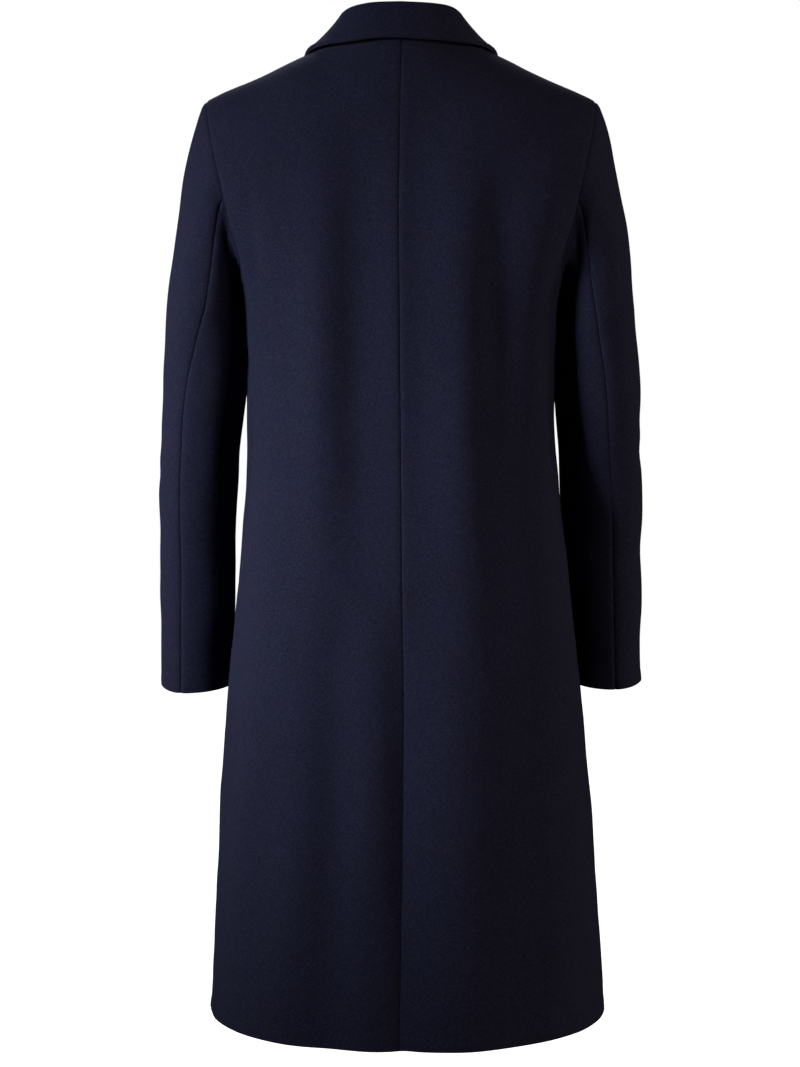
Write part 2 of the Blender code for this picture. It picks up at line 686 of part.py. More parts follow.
def collar_section(base, rise, normal, share, side):
    """One section of the collar: up the stand, over the roll and down the fall."""
    row = {name: float(column(COLLAR, name)(share)) for name in CollarRow._fields[1:]}
    roll = np.array([side * row["roll_x"], row["roll_y"], row["roll_z"]])
    edge = np.array([side * row["edge_x"], row["edge_y"], row["edge_z"]])
    radius = row["radius"]
    out = unit(normal * np.array([1.0, 1.0, COLLAR_LEAN]))
    foot = roll - out * radius
    up = foot - base
    top = unit(up - out * (up @ out))
    start = base + rise * TURNED_SEAM_GAP
    height = np.linalg.norm(foot - start)
    leaving, arriving = (share * height for share in STAND_HANDLES)
    stand = bezier(start, start + rise * leaving, foot - top * arriving, foot, STAND_SHARES)
    turns = np.radians(ROLL_TURNS)[1:, None]
    arc = roll - out * radius * np.cos(turns) + top * radius * np.sin(turns)
    length = np.linalg.norm(edge - arc[-1])
    leaving, arriving = (share * length for share in FALL_HANDLES)
    fall = bezier(arc[-1], arc[-1] - top * leaving, edge + top * arriving, edge, FALL_SHARES)
    return np.concatenate([stand, arc, lift_clear(fall, WALL + FALL_CLEARANCE)])


def gorge_section(edge, outwards, normal, side):
    """The collar's end, which lies on the front and meets the lapel along the gorge."""
    stand = edge + outwards * (SEAM_GAP + SEAM_STRIP * np.reshape(STAND_SHARES, (-1, 1)))
    arc = fold_over(edge, outwards, normal, ROLL_RADIUS, SEAM_GAP)[2:]
    lapel_end = np.array([side * LAPEL[-1].edge_x, LAPEL[-1].edge_level])
    start = np.array([edge[0], edge[2]])
    notch = start + (lapel_end - start) * NOTCH_SHARE
    point = np.array([side * COLLAR_POINT[0], COLLAR_POINT[1]])
    line = []
    for share in FALL_SHARES:
        if share < NOTCH_STEP:
            line.append(start + (notch - start) * share / NOTCH_STEP)
        else:
            line.append(notch + (point - notch) * (share - NOTCH_STEP) / (1 - NOTCH_STEP))
    line = np.array(line)
    lift = 2 * ROLL_RADIUS + LAPEL_SPRING * np.sin(math.pi * np.array(FALL_SHARES))
    return np.concatenate([stand, arc, laid_on_front(line[:, 0], line[:, 1], lift, side)])


def collar_half(back, front, gorge, neck, side):
    """Sections from the centre back round to the gorge, on one side."""
    behind = back[0, [0, *range(2, neck + 1)]].copy()
    behind[0, 0] = float(CENTRE_BACK(behind[0, 2]))
    before = front[2 : gorge + 1, 0]
    shoulder = (behind[-1] + front[0, 0]) / 2
    line = np.array([*behind[:-1], shoulder, *before])
    steps = np.concatenate([[0.0], np.cumsum(np.linalg.norm(np.diff(line, axis=0), axis=1))])
    shares = steps / steps[-1]
    normals = body_normal(line)
    rises = edge_directions(line, np.array([0.0, 0.0, 1.0]) + 0 * line)
    sections = [
        collar_section(line[k], rises[k], normals[k], shares[k], side)
        for k in range(len(line) - 1)
    ]
    edge, outwards, edge_normals = front_edge_frame(front, side)
    sections.append(gorge_section(edge[gorge], outwards[gorge], edge_normals[gorge], side))
    grid = np.array(sections)
    back_up = unit(grid[-2] - grid[-1])
    last = [grid[-1] + back_up * step for step in (GORGE_GAP / 2 + SEAM_STRIP, GORGE_GAP / 2)]
    return np.append(grid[:-1], np.array(last), axis=0)


# ---- objects -------------------------------------------------------------------------------


def plain_material(name, colour, roughness):
    material = bpy.data.materials.new(name)
    material.use_nodes = True
    surface = material.node_tree.nodes["Principled BSDF"]
    surface.inputs["Base Color"].default_value = colour
    surface.inputs["Roughness"].default_value = roughness
    surface.inputs["Metallic"].default_value = 0.0
    return material


def cloth_wall(name, grid, outward_rows, collection):
    """An open surface through the grid's points, with a Solidify wall."""
    mesh = bpy.data.meshes.new(name)
    builder = bmesh.new()
    verts = [[builder.verts.new(point * MM) for point in row] for row in grid]
    for upper, lower in zip(verts, verts[1:]):
        for k in range(len(upper) - 1):
            corners = (upper[k], lower[k], lower[k + 1], upper[k + 1])
            builder.faces.new(corners if outward_rows else corners[::-1])
    builder.to_mesh(mesh)
    builder.free()
    mesh.shade_smooth()
    piece = bpy.data.objects.new(name, mesh)
    collection.objects.link(piece)
    piece.data.materials.append(plain_material(name + "_wool", FABRIC_COLOUR, FABRIC_ROUGHNESS))
    wall = piece.modifiers.new("wall", "SOLIDIFY")
    wall.thickness = WALL * MM
    wall.offset = 0.0
    return piece


def button(name, level, collection):
    """A plain button on the right front, square to the cloth under it."""
    centre = on_body(np.array(0.0), np.array(float(level)), True, -1)
    above = on_body(np.array(0.0), np.array(level + BUTTON_TILT_STEP), True, -1)
    along = unit(above - centre)
    tilt = math.atan2(along[1], along[2])
    builder = bmesh.new()
    bmesh.ops.create_cone(
        builder, cap_ends=True, segments=BUTTON_SIDES, depth=BUTTON_THICKNESS * MM,
        radius1=BUTTON_RADIUS * MM, radius2=BUTTON_RADIUS * MM,
    )
    mesh = bpy.data.meshes.new(name)
    builder.to_mesh(mesh)
    builder.free()
    piece = bpy.data.objects.new(name, mesh)
    collection.objects.link(piece)
    normal = np.array([0.0, -math.cos(tilt), math.sin(tilt)])
    off = WALL / 2 + BUTTON_CLEARANCE + BUTTON_THICKNESS / 2
    piece.location = (centre + normal * off) * MM
    piece.rotation_euler = (math.pi / 2 - tilt, 0.0, 0.0)
    bevel = piece.modifiers.new("rim", "BEVEL")
    bevel.width = BUTTON_RIM * MM
    bevel.segments = 2
    piece.data.materials.append(plain_material(name + "_resin", BUTTON_COLOUR, BUTTON_ROUGHNESS))
    return piece


def build():
    for old in list(bpy.data.objects):
        bpy.data.objects.remove(old, do_unlink=True)
    collection = bpy.data.collections.new(COLLECTION)
    bpy.context.scene.collection.children.link(collection)
    halves = {}
    for side, word in ((1, "left"), (-1, "right")):
        back, armhole_rows = panel_grid(False, side)
        front, _ = panel_grid(True, side)
        cloth_wall(f"back_{word}", back, side > 0, collection)
        cloth_wall(f"front_{word}", front, side < 0, collection)
        loop = armhole_loop(back, front, armhole_rows)
        under = int(np.argmin(loop[:, 2]))
        angles, hind = sleeve_angles(loop, under)
        fore = under + int(np.argmin(np.abs(loop[under:, 2] - FORE_SEAM_LEVEL)))
        sleeve = sleeve_grid(loop, angles, side)
        under_sleeve = between_seams(sleeve, hind, fore)
        top_sleeve = between_seams(sleeve, fore, hind + len(loop) - 1)
        cloth_wall(f"sleeve_{word}_under", under_sleeve, side < 0, collection)
        cloth_wall(f"sleeve_{word}_top", top_sleeve, side < 0, collection)
        gorge = int(np.argmin(np.abs(front[:, 0, 2] - GORGE_LEVEL)))
        cloth_wall(f"lapel_{word}", lapel_grid(front, gorge, side), side > 0, collection)
        neck = COLUMNS_EACH_SIDE_OF_NECK + 1
        halves[side] = collar_half(back, front, gorge, neck, side)
    centre = (halves[1][0] + halves[-1][0]) / 2
    sections = [*halves[-1][:0:-1], centre, *halves[1][1:]]
    cloth_wall("collar", np.array(sections), True, collection)
    for number, level in enumerate(BUTTON_LEVELS, start=1):
        button(f"button_{number}", level, collection)


build()
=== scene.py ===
# %% [markdown]
# # A long wool overcoat, cut and sewn in code
#
# The coat is single-breasted, plain and unlined, in double-faced wool: two back panels, two
# fronts that turn back into lapels, two-piece sleeves and a one-piece collar.  It keeps the shape
# it has when worn, so it could be sculpted as one skin.  It is built panel by panel instead, as it
# is cut, because the seams between panels are what the eye reads on such a plain coat.
#
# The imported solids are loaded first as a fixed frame.  Every cloth piece made here follows one
# or two of them, with finer edges and deeper folds, and then takes their place.

import math
from collections import namedtuple
from functools import lru_cache, partial

import bmesh
import bpy
import numpy as np
from mathutils import Matrix, Vector


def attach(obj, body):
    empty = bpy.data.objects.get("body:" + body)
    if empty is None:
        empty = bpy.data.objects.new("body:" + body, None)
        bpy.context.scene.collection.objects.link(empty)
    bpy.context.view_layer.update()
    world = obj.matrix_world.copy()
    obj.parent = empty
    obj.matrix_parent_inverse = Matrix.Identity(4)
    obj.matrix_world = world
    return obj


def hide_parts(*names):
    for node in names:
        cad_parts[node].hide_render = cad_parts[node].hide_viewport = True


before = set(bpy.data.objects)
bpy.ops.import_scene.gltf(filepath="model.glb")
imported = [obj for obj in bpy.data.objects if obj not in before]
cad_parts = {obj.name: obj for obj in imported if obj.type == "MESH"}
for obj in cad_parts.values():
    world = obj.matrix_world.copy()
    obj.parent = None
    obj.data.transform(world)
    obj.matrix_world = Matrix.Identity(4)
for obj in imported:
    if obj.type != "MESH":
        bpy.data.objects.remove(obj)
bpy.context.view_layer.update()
MM = 0.001

# %% [markdown]
# ## Measures of the coat
#
# All lengths are in millimetres until a mesh is made.  +Z is up, the front faces -Y and the
# wearer's left is +X.  The body is a stack of rounded rings, closed at the top by a shoulder roof
# whose ridge carries the shoulder seams.  A pattern maker works from such a table of girths too.

# %% Body measures
def table(columns, *rows):
    """Rows whose columns have names."""
    Row = namedtuple("Row", columns)
    return [Row(*row) for row in rows]


SIDES = ((1, "left"), (-1, "right"))
WALL = 2.4
RIDGE_AT_CENTRE, RIDGE_SLOPE = 33.7, 0.45
ROOF_HEIGHT, ROOF_POWER, RING_POWER = 90.0, 2.2, 2.4
NECK_HALF_WIDTH, NECK_BACK_DEPTH, NECK_DOME_HEIGHT = 78.0, 68.0, 30.0
SHOULDER_HALF_WIDTH = 204.0
CHEST_LEVEL, UNDERARM_LEVEL = -190.0, -250.0
GORGE_LEVEL, BREAK_LEVEL, HEM_LEVEL = -48.0, -330.0, -1020.0
HEM_DROP_BACK, HEM_DROP_FRONT = 6.0, -3.0

BODY_RINGS = table(
    "level half_width back_depth front_depth centre",
    (-1035, 211.2, 184.0, 162.0, -7.5), (-951, 206.3, 172.0, 157.0, -7.2),
    (-864, 200.9, 160.0, 151.0, -6.3), (-734, 190.8, 142.0, 142.0, -4.5),
    (-626, 181.5, 127.0, 134.0, -3.5), (-560, 175.1, 117.0, 129.0, -2.7),
    (-477, 166.6, 103.0, 124.0, -1.2), (-400, 161.6, 95.5, 123.0, 0.0),
    (-350, 161.4, 96.0, 127.0, 0.0), (-300, 163.5, 99.0, 134.0, 0.0),
    (-260, 169.0, 102.5, 138.0, 0.0), (-225, 179.0, 104.5, 137.0, 0.0),
    (-190, 195.0, 104.5, 132.0, 0.0), (-140, 217.0, 102.0, 120.0, 0.0),
    (-100, 221.0, 98.0, 110.0, 0.0), (-50, 221.0, 92.0, 97.0, 0.0),
    (0, 221.0, 89.0, 82.0, 0.0), (40, 221.0, 88.0, 70.0, 0.0),
)
ARMHOLE = table(
    "level back_width front_width",
    (-190, 177.0, 171.0), (-155, 185.0, 179.5), (-120, 193.0, 189.5),
    (-86, 200.0, 198.5), (-58, 204.0, 204.0),
)
SEAM_COLUMNS = "level x"
CENTRE_BACK_SEAM = table(
    SEAM_COLUMNS,
    (-1035, 2.4), (-948, 1.0), (-843, -1.0), (-676, -2.6), (-545, -1.0),
    (-428, 0.0), (-265, 1.5), (-164, 2.1), (-53, 0.5), (10, -1.0),
)
FRONT_EDGE = table(
    SEAM_COLUMNS,
    (-330, -28.0), (-260, -9.0), (-190, 12.0), (-120, 34.0),
    (-48, 56.5), (-28, 64.5), (-12, 72.5), (-1.4, 78.0),
)
SIDE_SEAM = table(
    "level angle",
    (-1035, 5.0), (-600, 8.0), (-480, 15.0), (-400, 18.0), (-330, 13.0), (-250, 4.0),
)
LAP_OFFSET, LAP_FULL_TO, LAP_GONE_AT = 1.9, 25.0, 95.0
LAP_STARTS, LAP_FULL_BELOW = -130.0, -215.0
LAP_BULGE, LAP_BULGE_RISES, LAP_BULGE_FALLS = 4.5, (-365.0, -315.0), (-205.0, -160.0)


# %% Smooth curves through the tables
def column(rows, name):
    """A smooth curve through one column of a table, as a function of its level."""
    rows = sorted(rows, key=lambda row: row.level)
    levels = np.array([row.level for row in rows], dtype=float)
    values = np.array([getattr(row, name) for row in rows], dtype=float)
    slopes = np.gradient(values, levels)

    def at(level):
        level = np.clip(level, levels[0], levels[-1])
        i = np.clip(np.searchsorted(levels, level) - 1, 0, len(levels) - 2)
        step = levels[i + 1] - levels[i]
        t = (level - levels[i]) / step
        near = values[i] * (1 + 2 * t) + slopes[i] * step * t
        far = values[i + 1] * (3 - 2 * t) - slopes[i + 1] * step * (1 - t)
        return near * (1 - t) ** 2 + far * t**2

    return at


HALF_WIDTH = column(BODY_RINGS, "half_width")
BACK_DEPTH = column(BODY_RINGS, "back_depth")
FRONT_DEPTH = column(BODY_RINGS, "front_depth")
CENTRE = column(BODY_RINGS, "centre")
ARMHOLE_WIDTH = {True: column(ARMHOLE, "front_width"), False: column(ARMHOLE, "back_width")}
CENTRE_BACK = column(CENTRE_BACK_SEAM, "x")
FRONT_EDGE_X = column(FRONT_EDGE, "x")
SIDE_ANGLE = column(SIDE_SEAM, "angle")


def smoothstep(start, end, value):
    t = np.clip((value - start) / (end - start), 0.0, 1.0)
    return t * t * (3 - 2 * t)


def unit(vectors):
    return vectors / np.maximum(np.linalg.norm(vectors, axis=-1, keepdims=True), 1e-9)


def distances(line):
    """How far along a line each of its points is."""
    return np.concatenate([[0.0], np.cumsum(np.linalg.norm(np.diff(line, axis=0), axis=1))])


def squared_off(value, power):
    """A sine or cosine changed so that the ring it draws is a little square."""
    return np.sign(value) * np.abs(value) ** (2 / power)


print("half width at the waist, mm:", round(float(HALF_WIDTH(-400.0)), 1))

# %% [markdown]
# ## The surface that the body panels lie on
#
# Heavy cloth hangs in broad, soft, uneven folds from the shoulder blades and the seat.  They could
# come from a cloth simulation, but then their places would be left to chance.  Here each fold is a
# long swelling or hollow with its own course and width, so that the hang of the coat is designed
# as a tailor would adjust it.

# %% Folds and the lap of the fronts
FOLD_COLUMNS = "top bottom x_top x_bottom half_width height"
BACK_FOLDS = table(
    FOLD_COLUMNS,
    (-65, -640, 86.0, 88.0, 24.0, 7.6), (-65, -620, 44.0, 40.0, 24.0, -6.6),
    (-90, -480, 6.0, 4.0, 15.0, 1.6), (-60, -660, -64.0, -70.0, 31.0, 12.0),
    (-110, -430, -98.0, -98.0, 16.0, -4.0), (-110, -430, -154.0, -154.0, 32.0, 22.0),
    (-540, -1130, 98.0, 124.0, 27.0, 5.0), (-560, -1130, 62.0, 78.0, 22.0, -5.4),
    (-560, -1130, 28.0, 32.0, 20.0, 4.2), (-580, -1160, -2.0, -4.0, 13.0, -6.6),
    (-560, -1140, -62.0, -72.0, 40.0, 12.5),
)
FRONT_FOLDS = table(
    FOLD_COLUMNS,
    (-420, -1120, 100.0, 122.0, 38.0, 8.0), (-440, -1120, -88.0, -110.0, 36.0, 8.5),
    (-470, -1120, 48.0, 60.0, 26.0, -4.5), (-450, -1120, -40.0, -52.0, 24.0, -4.0),
    (-180, -480, 88.0, 70.0, 30.0, -5.0), (-170, -500, -92.0, -72.0, 32.0, -5.5),
)


def neck_dome():
    """An even quartic that meets the straight ridge smoothly at the neck's width."""
    edge = NECK_HALF_WIDTH
    drop = RIDGE_AT_CENTRE - RIDGE_SLOPE * edge - NECK_DOME_HEIGHT
    quartic = (-RIDGE_SLOPE * edge - 2 * drop) / (2 * edge**4)
    square = drop / edge**2 - quartic * edge**2
    return lambda x: NECK_DOME_HEIGHT + square * x**2 + quartic * x**4


NECK_DOME = neck_dome()


def ridge(x):
    straight = RIDGE_AT_CENTRE - RIDGE_SLOPE * np.abs(x)
    return np.where(np.abs(x) < NECK_HALF_WIDTH, NECK_DOME(x), straight)


def roof_rise(x, z):
    """0 below the shoulder roof, 1 on its ridge."""
    return np.clip((z - ridge(x) + ROOF_HEIGHT) / ROOF_HEIGHT, 0.0, 1.0)


FOLD_SWELL = 0.8


def fold_depth(folds, x, z):
    """How far the folds stand out from the plain surface."""
    total = np.zeros(np.broadcast(x, z).shape)
    for fold in folds:
        share = np.clip((fold.top - z) / (fold.top - fold.bottom), 0.0, 1.0)
        middle = fold.x_top + (fold.x_bottom - fold.x_top) * share
        across = np.exp(-(((x - middle) / fold.half_width) ** 2))
        total = total + fold.height * across * np.sin(math.pi * share) ** FOLD_SWELL
    return total


def lap_offset(side, x, z):
    """The right front lies over the left one, and over the left lapel just above the break."""
    near_edge = 1 - smoothstep(LAP_FULL_TO, LAP_GONE_AT, side * x)
    offset = LAP_OFFSET * near_edge * smoothstep(LAP_STARTS, LAP_FULL_BELOW, z)
    if side > 0:
        return -offset
    bulge = smoothstep(*LAP_BULGE_RISES, z) * (1 - smoothstep(*LAP_BULGE_FALLS, z))
    return offset + LAP_BULGE * bulge * near_edge


def body_span(x, z):
    """How far across the body a place is, 0 in the middle and 1 at the side, to the rings' power."""
    return (np.abs(x - CENTRE(z)) / HALF_WIDTH(z)) ** RING_POWER


def body_depth(x, z, front, side):
    """The surface's distance from the shoulder seams' plane."""
    round_off = np.maximum(1 - body_span(x, z), 0.0) ** (1 / RING_POWER)
    roof = np.maximum(1 - roof_rise(x, z) ** ROOF_POWER, 0.0) ** (1 / ROOF_POWER)
    if front:
        depth = FRONT_DEPTH(z) + fold_depth(FRONT_FOLDS, x, z)
        return depth * round_off * roof + lap_offset(side, x, z)
    return (BACK_DEPTH(z) + fold_depth(BACK_FOLDS, x, z)) * round_off * roof


def on_body(x, z, front, side):
    depth = body_depth(x, z, front, side)
    return np.stack(np.broadcast_arrays(x, -depth if front else depth, z), axis=-1)


# %% Which way the cloth faces
SLOPE_STEP, ROUND_OFF_LEAST, LIFT_STEPS = 0.05, 1e-3, 4


def body_value(points):
    """Below 0 inside the plain body surface, and above 0 outside it."""
    x, y, z = points[..., 0], points[..., 1], points[..., 2]
    span = body_span(x, z)
    reach = np.abs(y) / np.where(y < 0, FRONT_DEPTH(z), BACK_DEPTH(z))
    rise = (z - ridge(x) + ROOF_HEIGHT) / ROOF_HEIGHT
    plain = span + reach**RING_POWER - 1
    round_off = np.maximum(1 - span, ROUND_OFF_LEAST) ** (1 / RING_POWER)
    roofed = (reach / round_off) ** ROOF_POWER + np.maximum(rise, 0) ** ROOF_POWER - 1
    return np.where(rise > 0, roofed, plain)


def body_slope(points):
    parts = []
    for axis in np.eye(3):
        ahead = body_value(points + SLOPE_STEP * axis)
        behind = body_value(points - SLOPE_STEP * axis)
        parts.append((ahead - behind) / (2 * SLOPE_STEP))
    return np.stack(parts, axis=-1)


def body_normal(points):
    return unit(body_slope(points))


def lift_clear(points, clearance):
    """Move points out until they are at least the clearance away from the body's surface."""
    moved = np.array(points, dtype=float)
    for _ in range(LIFT_STEPS):
        slope = body_slope(moved)
        size = np.maximum(np.linalg.norm(slope, axis=-1), 1e-9)
        short = np.maximum(clearance - body_value(moved) / size, 0.0)
        moved = moved + (slope / size[..., None]) * short[..., None]
    return moved


middle_back = on_body(np.array(0.0), np.array(-400.0), False, 1)
print("the waist's middle back is", round(float(middle_back[1])), "mm behind the shoulder seams")

# %% [markdown]
# ## Tracing a panel
#
# A panel is a grid of points.  Its rows follow the surface from the centre line or front edge to
# the armhole or side seam.  They lie close together beside every edge, where the cloth's thickness
# rounds off, and further apart in the middle.  A grid is chosen over free triangles because its
# rows and columns follow the grain of the cloth, which the nap and the weave need later.

# %% Spacing points along lines
DENSE = 240
EDGE_STEPS = (0.0, 0.25, 0.6, 1.1, 1.8, 2.8, 4.5, 7.5, 12.0)
VISUAL_GAP = -0.7


def spaced(line, places):
    """Points at the given distances along a line of points, or a little beyond its ends."""
    along = distances(line)
    wanted = places(along[-1])
    points = np.stack([np.interp(wanted, along, line[:, k]) for k in range(3)], axis=-1)
    before = np.minimum(wanted, 0.0)[:, None] * unit(line[1] - line[0])
    beyond = np.maximum(wanted - along[-1], 0.0)[:, None] * unit(line[-1] - line[-2])
    return points + before + beyond


def edge_places(shares, start_gap=0.0, end_gap=0.0, close_start=True, close_end=True):
    """Distances along a line: close together at its ends, and by shares in between."""

    def places(length):
        first = start_gap + np.array(EDGE_STEPS if close_start else (0.0,))
        last = length - end_gap - np.array(EDGE_STEPS if close_end else (0.0,))
        inner = first[-1] + (last[-1] - first[-1]) * np.array(shares)
        return np.concatenate([first, inner, last[::-1]])

    return places


def even(count):
    """Shares that cut a length into equal parts, without its two ends."""
    return np.arange(1, count) / count


def levels_down(top, bottom, rows):
    """Even levels from the top down to a hem, and close ones beside the hem."""
    height = top - bottom
    falls = np.append(height * np.arange(rows) / rows, height - np.array(EDGE_STEPS[-2::-1]))
    return top - np.unique(np.round(falls, 3))


def bezier(first, second, third, last, shares):
    """Points at some shares of the way along a curve with two handles."""
    t = np.reshape(shares, (-1, 1))
    ends = first * (1 - t) ** 3 + last * t**3
    return ends + second * 3 * t * (1 - t) ** 2 + third * 3 * t * t * (1 - t)


# %% Rows above and below the chest
ROW_CROWDING = 2.4
HALVINGS = 40


def neckline_level(x):
    """The height at which the back surface meets the oval plan of the neck."""
    wanted = NECK_BACK_DEPTH * math.sqrt(max(1 - (x / NECK_HALF_WIDTH) ** 2, 0.0))
    low, high = ridge(x) - ROOF_HEIGHT, ridge(x)
    for _ in range(HALVINGS):
        middle = (low + high) / 2
        if float(body_depth(x, middle, False, 1)) > wanted:
            low = middle
        else:
            high = middle
    return (low + high) / 2


@lru_cache
def top_line(front, side):
    """The top edge of a panel: x and z from the neck or centre back to the shoulder point."""
    if front:
        x = np.linspace(NECK_HALF_WIDTH, SHOULDER_HALF_WIDTH, DENSE)
        return x, ridge(x)
    angles = np.linspace(0, math.pi / 2, DENSE // 2)
    neck_x = NECK_HALF_WIDTH * np.sin(angles)
    neck_z = np.array([neckline_level(x) for x in neck_x])
    shoulder_x = np.linspace(NECK_HALF_WIDTH, SHOULDER_HALF_WIDTH, DENSE - DENSE // 2 + 1)[1:]
    return np.append(neck_x, shoulder_x), np.append(neck_z, ridge(shoulder_x))


def upper_row(share, front, side):
    """A row between the top edge, at share 0, and the level chest row, at share 1."""
    top_x, top_z = top_line(front, side)
    across = (top_x - top_x[0]) / (top_x[-1] - top_x[0])
    z = top_z * (1 - share) + CHEST_LEVEL * share
    outer = float(ARMHOLE_WIDTH[front](z[-1]))
    inner = float(FRONT_EDGE_X(z[0])) if front else side * float(CENTRE_BACK(z[0]))
    if front:
        x = inner * (1 - across) + outer * across
    else:
        x = inner * (1 - smoothstep(0.0, NECK_HALF_WIDTH, top_x)) + outer * across
    z = z + (ridge(x) - ridge(top_x)) * (1 - share)
    return on_body(side * x, z, front, side)


def ring_angle(x, level, side):
    """The angle from the side of a body ring to a given place across it, without a sign."""
    share = side * (x - float(CENTRE(level))) / float(HALF_WIDTH(level))
    cosine = math.copysign(abs(share) ** (RING_POWER / 2), share)
    return math.acos(max(-1.0, min(1.0, cosine)))


def ring_points(level, angle, side):
    """Points on the body at angles from its side: behind is positive, in front negative."""
    sine = np.abs(np.sin(angle)) ** (2 / RING_POWER)
    x = CENTRE(level) + side * HALF_WIDTH(level) * squared_off(np.cos(angle), RING_POWER)
    back = (BACK_DEPTH(level) + fold_depth(BACK_FOLDS, x, level)) * sine
    front = (FRONT_DEPTH(level) + fold_depth(FRONT_FOLDS, x, level)) * sine
    front = front + lap_offset(side, x, level)
    y = np.where(np.sin(angle) >= 0, back, -front)
    return np.stack(np.broadcast_arrays(x, y, level), axis=-1)


def lower_row(level, outer_angle, front, side, hem_share=0.0):
    """A level row from the centre line or front edge out to an angle around the ring."""
    inner_x = side * float(FRONT_EDGE_X(level)) if front else float(CENTRE_BACK(level))
    inner_angle = ring_angle(inner_x, level, side) * (-1 if front else 1)
    angle = np.linspace(inner_angle, outer_angle, DENSE)
    drop = HEM_DROP_FRONT if front else HEM_DROP_BACK
    z = level - hem_share * drop * np.sin(angle) ** 2
    return ring_points(z, angle, side)


# %% Panel grids
NECK_COLUMNS, SHOULDER_COLUMNS, FRONT_COLUMNS = 16, 22, 44
UPPER_ROWS, ARMPIT_ROWS, LOWER_ROWS = 34, 16, 104
HEM_SHIFT_FROM = -930.0


def column_shares(top_row, front):
    """Even columns; on the back one of them runs down from the end of the shoulder seam."""
    if front:
        return even(FRONT_COLUMNS)
    lengths = np.linalg.norm(np.diff(top_row, axis=0), axis=1)
    first, total = EDGE_STEPS[-1], lengths.sum()
    neck = (lengths[: DENSE // 2 - 1].sum() - first) / (total - 2 * first)
    before = neck * np.arange(1, NECK_COLUMNS) / NECK_COLUMNS
    after = neck + (1 - neck) * np.arange(0, SHOULDER_COLUMNS) / SHOULDER_COLUMNS
    return np.append(before, after)


def panel_grid(front, side):
    """All the rows of a body panel, and the number of rows beside the armhole."""
    shares = np.linspace(0, 1, DENSE // 2) ** ROW_CROWDING
    dense_rows = [upper_row(share, front, side) for share in shares]
    inner = column_shares(dense_rows[0], front)
    inner_gap = 0.0 if front else VISUAL_GAP / 2
    upper = np.array([spaced(row, edge_places(inner, inner_gap)) for row in dense_rows])
    down = edge_places(even(UPPER_ROWS), VISUAL_GAP / 2, close_end=False)
    rows = list(np.stack([spaced(upper[:, k], down) for k in range(upper.shape[1])], axis=1))

    width = float(ARMHOLE_WIDTH[front](CHEST_LEVEL))
    chest_angle = ring_angle(side * width, CHEST_LEVEL, side) * (-1 if front else 1)
    underarm_angle = math.radians(float(SIDE_ANGLE(UNDERARM_LEVEL)))
    for turn in np.radians(90 * even(ARMPIT_ROWS + 1)):
        level = CHEST_LEVEL + (UNDERARM_LEVEL - CHEST_LEVEL) * math.sin(turn)
        angle = underarm_angle + (chest_angle - underarm_angle) * math.cos(turn)
        row = lower_row(level, angle, front, side)
        rows.append(spaced(row, edge_places(inner, inner_gap)))
    armhole_rows = len(rows) + 1
    for level in levels_down(UNDERARM_LEVEL, HEM_LEVEL, LOWER_ROWS):
        hem_share = float(smoothstep(HEM_SHIFT_FROM, HEM_LEVEL, level))
        row = lower_row(level, math.radians(float(SIDE_ANGLE(level))), front, side, hem_share)
        rows.append(spaced(row, edge_places(inner, inner_gap, VISUAL_GAP / 2)))
    return np.array(rows), armhole_rows


PANELS = {(front, side): panel_grid(front, side) for front in (False, True) for side in (1, -1)}
BACKS = {side: PANELS[False, side][0] for side in (1, -1)}
FRONTS = {side: PANELS[True, side][0] for side in (1, -1)}
ARMHOLE_ROWS = PANELS[False, 1][1]
print("a back panel has", BACKS[1].shape[0], "rows of", BACKS[1].shape[1], "points")

# %% [markdown]
# ## Sleeves
#
# A tailored sleeve is cut in two pieces, a wide top sleeve and a narrow under sleeve, so that it
# can curve forward as an arm hangs.  Its head is set into the armhole with some ease.  It could be
# swept along a path, but the head would not meet the armhole exactly.  So every point of the
# armhole starts a curve of its own, which leaves square to the seam and joins a ring at the upper
# arm; from there rings lead down to the cuff.

# %% Sleeve measures
SLEEVE_RINGS = table(
    "level centre_x half_width centre_y half_depth seam_left seam_right",
    (-686, 222.5, 37.5, -66.0, 42.5, 68.0, 78.0), (-600, 219.5, 38.8, -50.0, 43.0, 68.0, 79.0),
    (-500, 217.6, 39.9, -32.0, 44.5, 67.0, 79.0), (-430, 214.6, 41.4, -20.0, 47.0, 67.0, 81.0),
    (-350, 208.2, 43.4, -7.0, 51.0, 70.0, 83.0), (-310, 205.8, 42.3, -2.0, 54.0, 80.0, 88.0),
    (-275, 206.0, 39.5, 1.0, 57.0, 93.0, 95.0),
)
SLEEVE_CAP = table(
    "level start reach_x reach_y reach_z",
    (0, 10.0, -10.0, 0.0, 125.0), (90, 12.0, -9.0, 3.0, 48.0), (135, 12.0, 1.0, 4.0, 26.0),
    (180, 12.0, 6.0, 0.0, 20.0), (225, 12.0, 1.0, -4.0, 26.0), (270, 12.0, 0.0, -3.0, 48.0),
    (360, 10.0, -10.0, 0.0, 125.0),
)
SLEEVE_POWER, BICEPS_LEVEL, CUFF_LEVEL = 2.1, -275.0, -686.0
CUFF_CURVE, CUFF_CURVE_FROM, CUFF_SHIFT = 5.0, -600.0, {1: -1.2, -1: 3.0}
HUG_WIDTH, HUG_STARTS, HUG_ENDS = 2.1, (-325.0, -430.0), (-520.0, -620.0)
HIND_SEAM_LEVEL, HIND_SEAM_ANGLE, HIND_SEAM_SPREAD = -162.0, 88.0, 70.0
FORE_SEAM_LEVEL = -215.0
CAP_ROWS, SLEEVE_ROWS = 34, 60
TOP_SLEEVE_COLUMNS, UNDER_SLEEVE_COLUMNS = 76, 46
SLEEVE = {name: column(SLEEVE_RINGS, name) for name in SLEEVE_RINGS[0]._fields[1:]}


